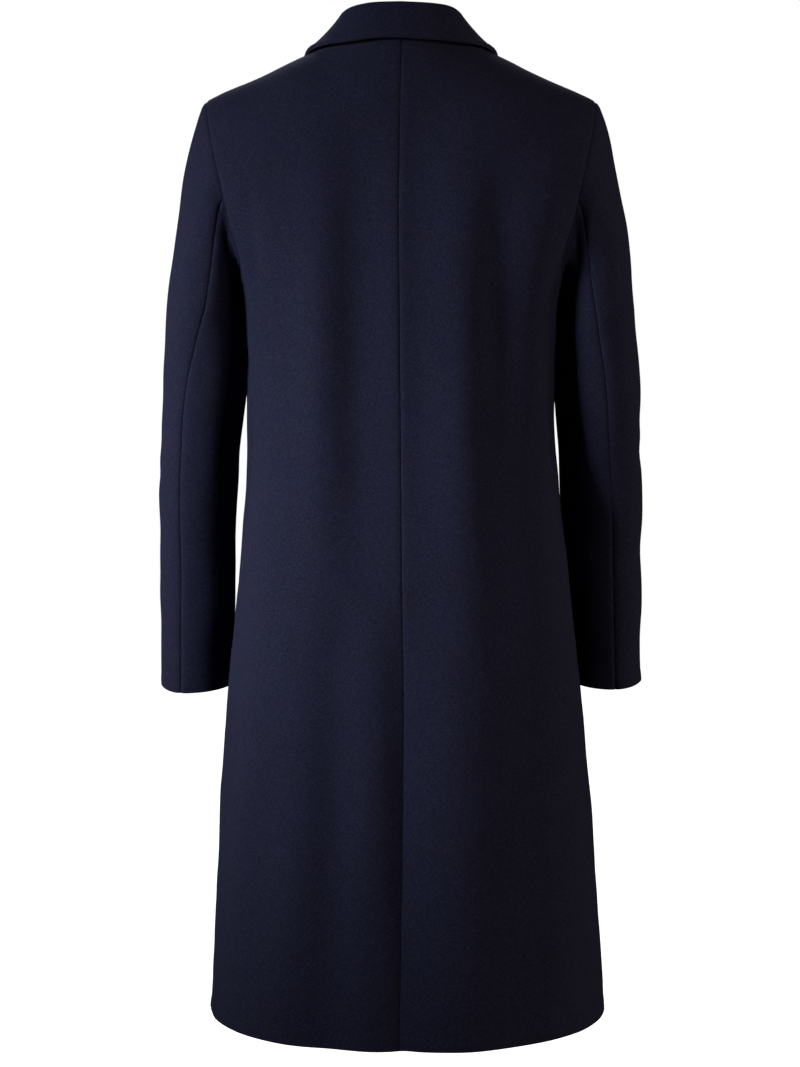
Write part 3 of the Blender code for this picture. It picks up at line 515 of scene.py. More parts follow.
# %% From the armhole to the cuff
def tangents_along(line, closed=False):
    """Directions along a line of points, each the mean of the steps before and after it."""
    steps = unit(np.diff(line, axis=0))
    before = np.concatenate([steps[-1:] if closed else steps[:1], steps])
    after = np.concatenate([steps, steps[:1] if closed else steps[-1:]])
    return unit(before + after)


def edge_directions(edge, reference):
    """In the surface, square to an edge, and on the reference's side of it."""
    across = unit(np.cross(tangents_along(edge), body_normal(edge)))
    facing = np.sign((across * reference).sum(axis=-1, keepdims=True))
    return across * np.where(facing == 0, 1, facing)


def armhole_loop(back, front):
    """Armhole points from the shoulder point down the back, under the arm and up the front."""
    keep = [0, *range(len(EDGE_STEPS) - 2, ARMHOLE_ROWS)]
    behind, before = back[keep, -1], front[keep, -1]
    tip = (behind[0] + before[0]) / 2
    under = (behind[-1] + before[-1]) / 2
    return np.array([tip, *behind[1:-1], under, *before[-2:0:-1], tip])


def sleeve_angles(loop, under):
    """The angle around the sleeve that each armhole point runs down to."""
    along = distances(loop)
    behind = along[: under + 1] / along[under]
    before = (along[-1] - along[under:]) / (along[-1] - along[under])
    seam = int(np.argmin(np.abs(loop[:under, 2] - HIND_SEAM_LEVEL)))
    power = math.log(HIND_SEAM_ANGLE / 180) / math.log(behind[seam])
    return np.append(180 * behind**power, (360 - 180 * before)[1:]), seam


def sleeve_ring(level, angles, side):
    """A ring of the sleeve, its angles turned a little so that the seam stays in place.  The
    right sleeve is a little fuller towards the body than the left one."""
    seam = SLEEVE["seam_left" if side > 0 else "seam_right"](level)
    near = np.exp(-(((angles - HIND_SEAM_ANGLE) / HIND_SEAM_SPREAD) ** 2))
    turned = np.radians(angles + (seam - HIND_SEAM_ANGLE) * near)
    hug = HUG_WIDTH * smoothstep(*HUG_STARTS, level) * (1 - smoothstep(*HUG_ENDS, level)) * (side < 0)
    across = (SLEEVE["half_width"](level) + hug) * squared_off(np.cos(turned), SLEEVE_POWER)
    x = side * (SLEEVE["centre_x"](level) - hug + across)
    y = SLEEVE["centre_y"](level) + SLEEVE["half_depth"](level) * squared_off(np.sin(turned), SLEEVE_POWER)
    return np.stack(np.broadcast_arrays(x, y, level), axis=-1)


def sleeve_grid(loop, angles, side):
    """Rows from the armhole over the sleeve head to the upper arm, and on down to the cuff."""
    directions = unit(np.cross(tangents_along(loop, closed=True), body_normal(loop)))
    under = int(np.argmin(loop[:, 2]))
    directions = directions * np.sign(directions[under, 2])
    directions[0] = directions[-1] = unit(np.array([side * 1.0, 0.0, -RIDGE_SLOPE]))

    def cap(name):
        return np.array([float(column(SLEEVE_CAP, name)(angle)) for angle in angles])

    start = cap("start")[:, None]
    first = loop + directions * VISUAL_GAP
    second = first + directions * start
    last = sleeve_ring(BICEPS_LEVEL, angles, side)
    third = last + np.stack([side * cap("reach_x"), cap("reach_y"), cap("reach_z")], axis=-1)
    close = np.array(EDGE_STEPS[:-1]) / (3 * start.mean())
    shares = np.append(close, close[-1] + (1 - close[-1]) * np.arange(1, CAP_ROWS) / CAP_ROWS)
    rows = [bezier(first, second, third, last, share) for share in shares]
    for level in levels_down(BICEPS_LEVEL, CUFF_LEVEL, SLEEVE_ROWS):
        ring = sleeve_ring(level, angles, side)
        curve = CUFF_CURVE * np.cos(np.radians(angles)) ** 2 + CUFF_SHIFT[side]
        ring[:, 2] += curve * smoothstep(CUFF_CURVE_FROM, CUFF_LEVEL, level)
        rows.append(ring)
    return np.array(rows)


def between_seams(grid, start, end, count):
    """One sleeve piece, from seam to seam, its rows spaced out again."""
    around = grid.shape[1] - 1
    columns = grid[:, [k % around for k in range(start, end + 1)]]
    places = edge_places(even(count), VISUAL_GAP / 2, VISUAL_GAP / 2)
    return np.array([spaced(row, places) for row in columns])


SLEEVES = {}
for side in (1, -1):
    loop = armhole_loop(BACKS[side], FRONTS[side])
    under = int(np.argmin(loop[:, 2]))
    angles, hind = sleeve_angles(loop, under)
    fore = under + int(np.argmin(np.abs(loop[under:, 2] - FORE_SEAM_LEVEL)))
    whole = sleeve_grid(loop, angles, side)
    SLEEVES["under", side] = between_seams(whole, hind, fore, UNDER_SLEEVE_COLUMNS)
    SLEEVES["top", side] = between_seams(whole, fore, hind + len(loop) - 1, TOP_SLEEVE_COLUMNS)
print("a sleeve is", round(float(loop[0, 2] - CUFF_LEVEL)), "mm from the shoulder point to the cuff")

# %% [markdown]
# ## Lapels and collar
#
# A lapel isn't a separate piece: the front itself turns back along its roll line.  The turn is
# rolled, never pressed flat, so a half circle joins the front and the part that lies back on it.
# The collar stands up from the neck seam, rolls over and falls onto the back and shoulders.  Each
# of its sections is drawn on its own: a stand, a half circle and a fall that rests on the coat.

# %% Lapel and collar measures
ROLL_RADIUS, ROLL_RADIUS_AT_BREAK, LAPEL_SPRING = 3.0, 1.8, 2.0
ROLL_STRIP, ROLL_STRIP_AT_BREAK = 1.4, 0.4
FALL_CLEARANCE, COLLAR_LEAN = 2.6, 0.3
STAND_HANDLES, FALL_HANDLES = (0.3, 0.35), (0.35, 0.2)
LAPEL = table(
    "level edge_x edge_level",
    (-325, -22.0, -327.5), (-280, 15.0, -293.0), (-225, 54.0, -250.0),
    (-165, 90.0, -200.0), (-105, 115.0, -142.0), (-48, 126.0, -88.0),
)
NOTCH_SHARE, NOTCH_STEP, COLLAR_POINT = 0.56, 0.6, (113.0, -61.0)
COLLAR = table(
    "level roll_x roll_y roll_z edge_x edge_y edge_z radius",
    (0.00, 0.0, 67.5, 34.0, 0.0, 82.0, 1.4, 4.6), (0.18, 35.0, 59.5, 33.5, 47.0, 73.0, 0.4, 4.6),
    (0.36, 55.0, 38.0, 30.5, 80.0, 45.0, -2.0, 4.4), (0.52, 62.0, 2.0, 22.0, 97.0, -1.0, -5.0, 4.0),
    (0.70, 62.0, -42.0, 0.0, 105.0, -45.0, -18.0, 3.7),
    (0.85, 58.5, -71.0, -23.0, 110.0, -70.0, -38.0, 3.3),
    (1.00, 54.2, -93.0, -47.5, 113.0, -85.0, -61.0, 3.0),
)
ROLL_TURNS = np.linspace(0, 180, 13)
STAND_SHARES = np.append([0.0, 0.01, 0.03, 0.06, 0.1], np.linspace(0.17, 1.0, 9))
FALL_SHARES = np.append(np.linspace(0.05, 0.86, 15), [0.9, 0.935, 0.96, 0.98, 0.993, 1.0])
LAPEL_SHARES = np.append(np.linspace(0.03, 0.88, 26), [0.92, 0.95, 0.97, 0.984, 0.994, 1.0])
LAPEL_STARTS_ABOVE_BREAK, NECKLINE_SPACING = 2.0, 4.0
TOWARDS_GORGE = (0.5, 0.8, 0.92, 0.97)


# %% Turning cloth over
def fold_over(base, across, normal, radius, strip):
    """The half circle in which cloth turns back over itself."""
    turns = np.radians(ROLL_TURNS)
    out = np.append(0.0, strip + radius * np.sin(turns))
    up = np.append(0.0, radius * (1 - np.cos(turns)))
    return base + out[:, None] * across + up[:, None] * normal


def laid_on_front(x, z, lift, side):
    """Points over the front, lifted square to it."""
    points = on_body(x, z, True, side)
    return points + body_normal(points) * np.reshape(lift, (-1, 1))


def front_edge_frame(front):
    """The front panel's inner edge, and the directions out of the panel and off its face."""
    edge = front[:, 0]
    outwards = edge_directions(edge, front[:, 0] - front[:, 2])
    return edge, outwards, body_normal(edge)


def lapel_grid(front, gorge, side):
    """Rows from the gorge down to the break: the roll, and then the lapel on the front."""
    edge, outwards, normals = front_edge_frame(front)
    lowest = int(np.argmax(edge[:, 2] < BREAK_LEVEL + LAPEL_STARTS_ABOVE_BREAK)) - 1
    rows = []
    for r in range(gorge, lowest + 1):
        level = float(edge[r, 2])
        share = (level - BREAK_LEVEL) / (edge[gorge, 2] - BREAK_LEVEL)
        radius = ROLL_RADIUS_AT_BREAK + (ROLL_RADIUS - ROLL_RADIUS_AT_BREAK) * share
        strip = ROLL_STRIP_AT_BREAK + (ROLL_STRIP - ROLL_STRIP_AT_BREAK) * share
        roll = fold_over(edge[r], outwards[r], normals[r], radius, strip)
        end_x = side * float(column(LAPEL, "edge_x")(level))
        end_z = float(column(LAPEL, "edge_level")(level))
        x = edge[r, 0] + (end_x - edge[r, 0]) * LAPEL_SHARES
        z = level + (end_z - level) * LAPEL_SHARES
        lift = 2 * radius + LAPEL_SPRING * share * np.sin(math.pi * LAPEL_SHARES)
        rows.append(np.append(roll, laid_on_front(x, z, lift, side), axis=0))
    return np.array(rows)


def collar_section(base, rise, normal, share, side):
    """One section of the collar: up the stand, over the roll and down the fall."""
    row = {name: float(column(COLLAR, name)(share)) for name in COLLAR[0]._fields[1:]}
    roll = np.array([side * row["roll_x"], row["roll_y"], row["roll_z"]])
    edge = np.array([side * row["edge_x"], row["edge_y"], row["edge_z"]])
    radius = row["radius"]
    out = unit(normal * np.array([1.0, 1.0, COLLAR_LEAN]))
    foot = roll - out * radius
    up = foot - base
    top = unit(up - out * (up @ out))
    start = base + rise * VISUAL_GAP
    height = np.linalg.norm(foot - start)
    leaving, arriving = (part * height for part in STAND_HANDLES)
    stand = bezier(start, start + rise * leaving, foot - top * arriving, foot, STAND_SHARES)
    turns = np.radians(ROLL_TURNS)[1:, None]
    arc = roll - out * radius * np.cos(turns) + top * radius * np.sin(turns)
    length = np.linalg.norm(edge - arc[-1])
    leaving, arriving = (part * length for part in FALL_HANDLES)
    fall = bezier(arc[-1], arc[-1] - top * leaving, edge + top * arriving, edge, FALL_SHARES)
    return np.concatenate([stand, arc, lift_clear(fall, WALL + FALL_CLEARANCE)])


def gorge_section(edge, outwards, normal, side):
    """The collar's end, which lies on the front and meets the lapel along the gorge."""
    stand = edge + outwards * (ROLL_STRIP * np.reshape(STAND_SHARES, (-1, 1)))
    arc = fold_over(edge, outwards, normal, ROLL_RADIUS, ROLL_STRIP)[2:]
    lapel_end = np.array([side * LAPEL[-1].edge_x, LAPEL[-1].edge_level])
    start = np.array([edge[0], edge[2]])
    notch = start + (lapel_end - start) * NOTCH_SHARE
    point = np.array([side * COLLAR_POINT[0], COLLAR_POINT[1]])
    shares = FALL_SHARES[:, None]
    along_gorge = start + (notch - start) * shares / NOTCH_STEP
    past_notch = notch + (point - notch) * (shares - NOTCH_STEP) / (1 - NOTCH_STEP)
    line = np.where(shares < NOTCH_STEP, along_gorge, past_notch)
    lift = 2 * ROLL_RADIUS + LAPEL_SPRING * np.sin(math.pi * FALL_SHARES)
    return np.concatenate([stand, arc, laid_on_front(line[:, 0], line[:, 1], lift, side)])


def collar_half(back, front, gorge, neck, side):
    """Sections from the centre back round to the gorge, on one side."""
    behind = back[0, : neck + 1].copy()
    behind[0, 0] = float(CENTRE_BACK(behind[0, 2]))
    line = np.array([*behind[:-1], (behind[-1] + front[0, 0]) / 2, *front[1:gorge, 0]])
    length = distances(line)[-1]
    total = length + np.linalg.norm(front[gorge, 0] - line[-1])
    count = int(total / NECKLINE_SPACING)
    line = spaced(line, lambda whole: whole * np.linspace(0, 1, count))
    shares = np.linspace(0, 1, count) * length / total
    normals = body_normal(line)
    rises = edge_directions(line, np.array([0.0, 0.0, 1.0]) + 0 * line)
    sections = [
        collar_section(line[k], rises[k], normals[k], shares[k], side) for k in range(count)
    ]
    edge, outwards, edge_normals = front_edge_frame(front)
    end = gorge_section(edge[gorge], outwards[gorge], edge_normals[gorge], side)
    near_end = [sections[-1] + (end - sections[-1]) * t for t in TOWARDS_GORGE]
    up = unit(near_end[-1] - end)
    return np.array([*sections, *near_end, end + up * VISUAL_GAP])


NECK_CORNER = len(EDGE_STEPS) - 1 + NECK_COLUMNS
LAPELS, collar_halves = {}, {}
for side in (1, -1):
    gorge = int(np.argmin(np.abs(FRONTS[side][:, 0, 2] - GORGE_LEVEL)))
    LAPELS[side] = (gorge, lapel_grid(FRONTS[side], gorge, side))
    collar_halves[side] = collar_half(BACKS[side], FRONTS[side], gorge, NECK_CORNER, side)
centre_section = (collar_halves[1][0] + collar_halves[-1][0]) / 2
COLLAR_GRID = np.array([*collar_halves[-1][:0:-1], centre_section, *collar_halves[1][1:]])
print("the collar has", len(COLLAR_GRID), "sections")

# %% [markdown]
# ## The hand of the cloth
#
# No wool coat is smooth.  The cloth wanders by a fraction of a millimetre between its folds, drags
# in a few slanting creases below the arms and at the elbows, and puckers a little along its seams.
# A displacement texture could do this at render time.  Moving the points themselves keeps the
# relief in the mesh, and one field for all pieces lets it run on across every seam.

# %% Creases and wander
WANDER_BROAD, WANDER_FINE, PUCKER = (120.0, 0.9), (42.0, 0.28), (13.0, 0.2)
WAVES, WAVE_STRETCH = 7, (0.7, 1.4)
BROAD_SEED, FINE_SEED, SLEEVE_SEED, PUCKER_SEED = 3, 8, 5, 21
CALM_NEAR_ARMHOLE, FRONT_TO_BACK, SLEEVE_CREASE_SHIFT = 26.0, (-30.0, 30.0), 12.0
CREASE_FADES_IN, CREASE_FADES_OUT = (-0.25, 0.3), (0.7, 1.25)
POINTS_AT_ONCE = 400
CREASE_COLUMNS = "x_start z_start x_end z_end half_width height"
BACK_CREASES = table(
    CREASE_COLUMNS,
    (158.0, -150.0, 148.0, -262.0, 9.0, -2.2), (60.0, -390.0, 118.0, -420.0, 16.0, -0.9),
    (-70.0, -395.0, -126.0, -428.0, 17.0, -1.0), (44.0, -760.0, 50.0, -1000.0, 14.0, 1.5),
    (-146.0, -700.0, -152.0, -1010.0, 16.0, 2.0), (150.0, -640.0, 172.0, -1010.0, 20.0, 2.2),
)
FRONT_CREASES = table(
    CREASE_COLUMNS,
    (150.0, -160.0, 120.0, -250.0, 12.0, -1.8), (-150.0, -165.0, -122.0, -245.0, 12.0, -1.6),
    (118.0, -400.0, 60.0, -440.0, 16.0, -1.1), (-116.0, -405.0, -56.0, -436.0, 15.0, -1.2),
    (40.0, -640.0, 60.0, -1010.0, 22.0, 1.8), (-50.0, -650.0, -66.0, -1010.0, 24.0, 1.8),
)
SLEEVE_CREASES = table(
    CREASE_COLUMNS,
    (60.0, -300.0, 100.0, -330.0, 12.0, -1.3), (-30.0, -415.0, 10.0, -400.0, 12.0, -1.4),
    (-50.0, -445.0, 24.0, -436.0, 13.0, -1.6), (40.0, -470.0, 90.0, -455.0, 13.0, -1.2),
    (-90.0, -440.0, -40.0, -470.0, 14.0, -1.5), (10.0, -560.0, 62.0, -600.0, 20.0, 0.8),
    (-40.0, -520.0, -20.0, -640.0, 18.0, 0.6),
)


def wander(points, scale, seed):
    """A smooth random height of the given wavelength and size, from a few crossing waves."""
    wavelength, height = scale
    draw = np.random.default_rng(seed)
    directions = unit(draw.normal(size=(WAVES, 3))) * draw.uniform(*WAVE_STRETCH, (WAVES, 1))
    phases = draw.uniform(0, 2 * math.pi, WAVES)
    waves = np.sin(points @ directions.T * (2 * math.pi / wavelength) + phases)
    return height * waves.sum(axis=-1) / math.sqrt(WAVES)


def crease_height(creases, across, up):
    """The height of slanting creases, each a rounded ridge or furrow that fades at its ends."""
    total = np.zeros_like(across)
    for crease in creases:
        run = np.array([crease.x_end - crease.x_start, crease.z_end - crease.z_start])
        away_x, away_z = across - crease.x_start, up - crease.z_start
        t = (away_x * run[0] + away_z * run[1]) / (run @ run)
        held = np.clip(t, 0.0, 1.0)
        distance = np.hypot(away_x - held * run[0], away_z - held * run[1])
        fade = smoothstep(*CREASE_FADES_IN, t) * (1 - smoothstep(*CREASE_FADES_OUT, t))
        total = total + crease.height * fade * np.exp(-((distance / crease.half_width) ** 2))
    return total


def line_distance(points, lines):
    """How far each point is from the nearest of some lines of points."""
    starts = np.concatenate([line[:-1] for line in lines])
    steps = np.concatenate([np.diff(line, axis=0) for line in lines])
    lengths = np.maximum((steps * steps).sum(axis=-1), 1e-12)
    nearest = np.empty(len(points))
    for first in range(0, len(points), POINTS_AT_ONCE):
        away = points[first : first + POINTS_AT_ONCE, None] - starts
        t = np.clip((away * steps).sum(axis=-1) / lengths, 0.0, 1.0)
        gap = away - t[..., None] * steps
        nearest[first : first + POINTS_AT_ONCE] = np.sqrt((gap * gap).sum(axis=-1).min(axis=1))
    return nearest


def body_drape(points, calm_lines):
    """How the cloth of the body moves off its plain surface."""
    calm = smoothstep(0.0, CALM_NEAR_ARMHOLE, line_distance(points, calm_lines))
    x, z = points[:, 0], points[:, 2]
    behind = smoothstep(*FRONT_TO_BACK, points[:, 1])
    creases = behind * crease_height(BACK_CREASES, x, z)
    creases += (1 - behind) * crease_height(FRONT_CREASES, x, z)
    height = wander(points, WANDER_BROAD, BROAD_SEED) + wander(points, WANDER_FINE, FINE_SEED)
    height = height + creases
    return body_normal(points) * (height * calm)[:, None]


def sleeve_away(points, side):
    """The direction from the sleeve's middle line out through each point."""
    level = points[:, 2]
    x = points[:, 0] - side * SLEEVE["centre_x"](level)
    y = points[:, 1] - SLEEVE["centre_y"](level)
    return unit(np.stack([x, y, 0 * level], axis=-1))


def sleeve_drape(points, calm_lines, side):
    calm = smoothstep(0.0, CALM_NEAR_ARMHOLE, line_distance(points, calm_lines))
    away = sleeve_away(points, side)
    around = np.degrees(np.arctan2(away[:, 1], side * away[:, 0]))
    height = wander(points, WANDER_BROAD, SLEEVE_SEED + side) + wander(points, WANDER_FINE, FINE_SEED)
    level = points[:, 2] + SLEEVE_CREASE_SHIFT * side
    height = height + crease_height(SLEEVE_CREASES, around, level)
    return away * (height * calm)[:, None]


ARMHOLES = {side: [BACKS[side][:ARMHOLE_ROWS, -1], FRONTS[side][:ARMHOLE_ROWS, -1]] for side in (1, -1)}
sample = np.array([[60.0, 95.0, -400.0], [120.0, 80.0, -300.0]])
print("the back moves by, mm:", np.round(body_drape(sample, ARMHOLES[1])[:, 1], 2))

# %% [markdown]
# ## Thickness, seams and turned edges
#
# Double-faced wool is two light cloths woven together, so that it needs no lining.  Its edges are
# split, turned into each other and felled by hand, which leaves them soft and round, and each seam
# sinks between two such edges.  Solidify gives a wall with square rims.  Here the two faces of the
# cloth are made point by point, so that they can curve together to one line at every edge.

# %% A closed shell around a sheet
EDGE_ROUND, TURN_RISE, COLLAR_TURN = 1.2, 0.45, (2.3, 1.1)
SEAM_SINK, SEAM_SINK_WIDTH, PUCKER_WIDTH = 0.9, 1.8, 6.0
ALLOWANCE_RISE, ALLOWANCE_MIDDLE, ALLOWANCE_WIDTH = 0.28, 7.0, 3.2
HEM_TURN, EDGE_TURN = (8.0, 10.5), (3.0, 6.5)
WELD_WITHIN, FAR_AWAY = 1e-3, 1e3


def link_object(name, data):
    piece = bpy.data.objects.new(name, data)
    bpy.context.scene.collection.objects.link(piece)
    return piece


def weld(grids):
    """The points of some grids with shared ones joined, the corners of their faces, and the
    number of each corner in the grids."""
    points = np.concatenate([grid.reshape(-1, 3) for grid in grids])
    _, first, number = np.unique(
        np.round(points / WELD_WITHIN).astype(np.int64), axis=0, return_index=True, return_inverse=True
    )
    corners, start = [], 0
    for grid in grids:
        rows, columns = grid.shape[:2]
        index = np.arange(start, start + rows * columns).reshape(rows, columns)
        start += rows * columns
        quad = (index[:-1, :-1], index[1:, :-1], index[1:, 1:], index[:-1, 1:])
        corners.append(np.stack(quad, axis=-1).reshape(-1, 4))
    corners = np.concatenate(corners)
    return points[first], number.reshape(-1)[corners], corners


def cloth_measures(grids):
    """How far each grid point is along its row and up its column, in metres."""
    places = []
    for grid in grids:
        across = np.linalg.norm(np.diff(grid, axis=1), axis=-1)
        down = np.linalg.norm(np.diff(grid, axis=0), axis=-1)
        u = np.concatenate([np.zeros((len(grid), 1)), np.cumsum(across, axis=1)], axis=1)
        v = np.concatenate([np.zeros((1, grid.shape[1])), np.cumsum(down, axis=0)])
        places.append(np.stack([u, v[-1:] - v], axis=-1).reshape(-1, 2) * MM)
    return np.concatenate(places)


def face_normals(points, faces):
    return np.cross(points[faces[:, 2]] - points[faces[:, 0]], points[faces[:, 3]] - points[faces[:, 1]])


def point_normals(points, faces):
    normals, total = face_normals(points, faces), np.zeros_like(points)
    for k in range(4):
        np.add.at(total, faces[:, k], normals)
    return unit(total)


def rim_of(faces):
    """The edges that only one face has."""
    edges = np.sort(np.concatenate([faces[:, [k, (k + 1) % 4]] for k in range(4)]), axis=1)
    edges, uses = np.unique(edges, axis=0, return_counts=True)
    return edges[uses == 1]


def shell(name, grids, outwards, move, seams=(), hems=(), edges=(), turn=(EDGE_ROUND, TURN_RISE)):
    """A closed piece of cloth around some joined grids.  The outwards function gives the
    direction that the cloth's right side faces, the move function says how it drapes, and the
    lines say what its edges are."""
    points, faces, corners = weld(grids)
    if (point_normals(points, faces) * outwards(points)).sum() < 0:
        faces, corners = faces[:, ::-1], corners[:, ::-1]
    seam_far, hem_far, edge_far = (
        line_distance(points, lines) if lines else np.full(len(points), FAR_AWAY)
        for lines in (seams, hems, edges)
    )
    rim = rim_of(faces)
    rim_far = line_distance(points, [points[pair] for pair in rim])
    rim_far[np.unique(rim)] = 0.0
    points = points + move(points)
    normals = point_normals(points, faces)
    sunk = -SEAM_SINK * np.exp(-((seam_far / SEAM_SINK_WIDTH) ** 2))
    sunk += ALLOWANCE_RISE * np.exp(-(((seam_far - ALLOWANCE_MIDDLE) / ALLOWANCE_WIDTH) ** 2))
    sunk += wander(points, PUCKER, PUCKER_SEED) * np.exp(-seam_far / PUCKER_WIDTH)
    points = points + normals * sunk[:, None]
    roundness = np.sqrt(1 - (1 - np.clip(rim_far / turn[0], 0.0, 1.0)) ** 2)
    turned = np.maximum(1 - smoothstep(*HEM_TURN, hem_far), 1 - smoothstep(*EDGE_TURN, edge_far))
    half = (WALL / 2 + turn[1] * turned) * roundness
    outer, inner = points + normals * half[:, None], points - normals * half[:, None]
    return cloth_object(name, points, outer, inner, faces, corners, rim, cloth_measures(grids))


def cloth_object(name, points, outer, inner, faces, corners, rim, places):
    """The two faces of the cloth, joined along its rim, with its own measures as a UV map."""
    on_rim = np.zeros(len(points), dtype=bool)
    on_rim[rim] = True
    inner_number = np.where(on_rim, np.arange(len(points)), len(points) + np.cumsum(~on_rim) - 1)
    every = np.concatenate([outer, inner[~on_rim]]) * MM
    polygons = np.concatenate([faces, inner_number[faces[:, ::-1]]])
    mesh = bpy.data.meshes.new(name)
    mesh.from_pydata(every.tolist(), [], polygons.tolist())
    uv = mesh.uv_layers.new(name="cloth")
    corner_places = places[np.concatenate([corners, corners[:, ::-1]]).reshape(-1)]
    uv.data.foreach_set("uv", corner_places.astype(np.float32).reshape(-1))
    mesh.shade_smooth()
    mesh.update()
    piece = link_object(name, mesh)
    piece["flat_area"] = float(np.linalg.norm(face_normals(points, faces), axis=1).sum() / 2 * MM**2)
    return piece


# %% The body's panels
CLOTH = {}
for side, word in SIDES:
    back, front = BACKS[side], FRONTS[side]
    drape = partial(body_drape, calm_lines=ARMHOLES[side])
    CLOTH[f"back_panel_{word}"] = shell(
        f"back_panel_{word}", [back], body_normal, drape,
        seams=[back[:, 0], back[:, -1], back[0]], hems=[back[-1]],
    )
    gorge, lapel = LAPELS[side]
    lowest = gorge + len(lapel)
    CLOTH[f"front_panel_{word}"] = shell(
        f"front_panel_{word}", [front, lapel], body_normal, drape,
        seams=[front[:, -1], front[0], front[: gorge + 1, 0]], hems=[front[-1]],
        edges=[front[lowest:, 0], lapel[:, -1]],
    )
for name, piece in CLOTH.items():
    print(name, len(piece.data.polygons), "faces,", round(piece["flat_area"], 3), "square metres")

# %% The sleeves
for side, word in SIDES:
    away = partial(sleeve_away, side=side)
    drape = partial(sleeve_drape, calm_lines=ARMHOLES[side], side=side)
    for part in ("top", "under"):
        grid = SLEEVES[part, side]
        name = f"{part}_sleeve_{word}"
        CLOTH[name] = shell(
            name, [grid], away, drape, seams=[grid[:, 0], grid[:, -1], grid[0]], hems=[grid[-1]]
        )
        print(name, len(CLOTH[name].data.polygons), "faces")

# %% The collar
STAND_COLUMN, STAND_NEAR = 4, 3.0


def around_neck(points):
    """Only the stand tells which side of the collar is out."""
    stand = np.zeros_like(points)
    near = line_distance(points, [COLLAR_GRID[:, STAND_COLUMN]]) < STAND_NEAR
    stand[near] = points[near] * np.array([1.0, 1.0, 0.0])
    return stand


CLOTH["collar_and_stand"] = shell(
    "collar_and_stand", [COLLAR_GRID], around_neck,
    partial(body_drape, calm_lines=[*ARMHOLES[1], *ARMHOLES[-1]]),
    seams=[COLLAR_GRID[:, 0]], edges=[COLLAR_GRID[:, -1]], turn=COLLAR_TURN,
)
print("collar", len(CLOTH["collar_and_stand"].data.polygons), "faces")

# %% [markdown]
# ## Buttons, holes and stitches
#
# Each button is turned from resin, dished in the middle and drilled with four holes.  It stands
# off the cloth on a wound shank of thread, so that the other front fits under it.  A profile spun
# around its axis gives the turned shape, and drilling it with a Boolean keeps the holes real.  The
# hand-worked buttonholes are a slit with stitches set side by side around it.

# %% A button, drilled
BUTTON_LEVELS = (-386.0, -491.0, -596.0)
BUTTON_THICKNESS, BUTTON_CLEARANCE, BUTTON_TURNS = 4.0, 1.2, 72
BUTTON_PROFILE = (
    (0.0, -1.7), (11.0, -2.0), (12.8, -1.7), (13.7, -0.9), (14.0, 0.1), (13.8, 1.1), (13.2, 1.8),
    (12.2, 2.0), (11.2, 1.75), (10.4, 1.2), (9.2, 0.75), (6.0, 0.5), (3.0, 0.45), (0.0, 0.45),
)
HOLE_RADIUS, HOLE_OFFSET, HOLE_SIDES = 1.05, 2.3, 20
SHARP_FROM, TILT_STEP = 40.0, 5.0


def circle(sides):
    """The cosine and sine of even turns around a circle."""
    angles = [2 * math.pi * k / sides for k in range(sides)]
    return [(math.cos(a), math.sin(a)) for a in angles]


def join_rings(builder, rings):
    """Faces from each ring of corners to the next one, which may be one corner repeated."""
    for below, above in zip(rings, rings[1:]):
        for k in range(len(below)):
            beside = (k + 1) % len(below)
            corners = [below[k], below[beside], above[beside], above[k]]
            builder.faces.new(list(dict.fromkeys(corners)))


def built(name, builder):
    """The object that a bmesh builder has made."""
    mesh = bpy.data.meshes.new(name)
    builder.to_mesh(mesh)
    builder.free()
    return link_object(name, mesh)


def turned(name, profile, turns):
    """A closed solid turned around the Z axis from a profile that starts and ends on it."""
    builder = bmesh.new()
    rings = []
    for radius, height in profile:
        if radius == 0:
            rings.append([builder.verts.new((0, 0, height * MM))] * turns)
            continue
        rings.append([
            builder.verts.new((radius * cosine * MM, radius * sine * MM, height * MM))
            for cosine, sine in circle(turns)
        ])
    join_rings(builder, rings)
    bmesh.ops.recalc_face_normals(builder, faces=builder.faces)
    return built(name, builder)


def finished(piece):
    """Turn a piece with live modifiers into a plain mesh, and drop the modifiers."""
    shaped = piece.evaluated_get(bpy.context.evaluated_depsgraph_get())
    mesh = bpy.data.meshes.new_from_object(shaped)
    piece.modifiers.clear()
    piece.data = mesh
    return piece


def drilled_button(name):
    piece = turned(name, BUTTON_PROFILE, BUTTON_TURNS)
    builder = bmesh.new()
    for along, across in ((1, 1), (1, -1), (-1, 1), (-1, -1)):
        place = Matrix.Translation((along * HOLE_OFFSET * MM, across * HOLE_OFFSET * MM, 0))
        bmesh.ops.create_cone(
            builder, cap_ends=True, segments=HOLE_SIDES, depth=3 * BUTTON_THICKNESS * MM,
            radius1=HOLE_RADIUS * MM, radius2=HOLE_RADIUS * MM, matrix=place,
        )
    drill = built("drill", builder)
    cut = piece.modifiers.new("holes", "BOOLEAN")
    cut.operation, cut.object, cut.solver = "DIFFERENCE", drill, "EXACT"
    finished(piece)
    bpy.data.objects.remove(drill, do_unlink=True)
    piece.data.shade_smooth()
    piece.data.set_sharp_from_angle(angle=math.radians(SHARP_FROM))
    return piece


def button_place(level):
    """Where a button sits: a matrix that turns its face away from the right front's cloth."""
    centre = on_body(np.array(0.0), np.array(level), True, -1)
    centre_above = on_body(np.array(0.0), np.array(level + TILT_STEP), True, -1)
    along = unit(centre_above - centre)
    tilt = math.atan2(along[1], along[2])
    normal = np.array([0.0, -math.cos(tilt), math.sin(tilt)])
    off = WALL / 2 + BUTTON_CLEARANCE + BUTTON_THICKNESS / 2
    turn = Matrix.Rotation(math.pi / 2 - tilt, 4, "X")
    return Matrix.Translation(Vector((centre + normal * off) * MM)) @ turn


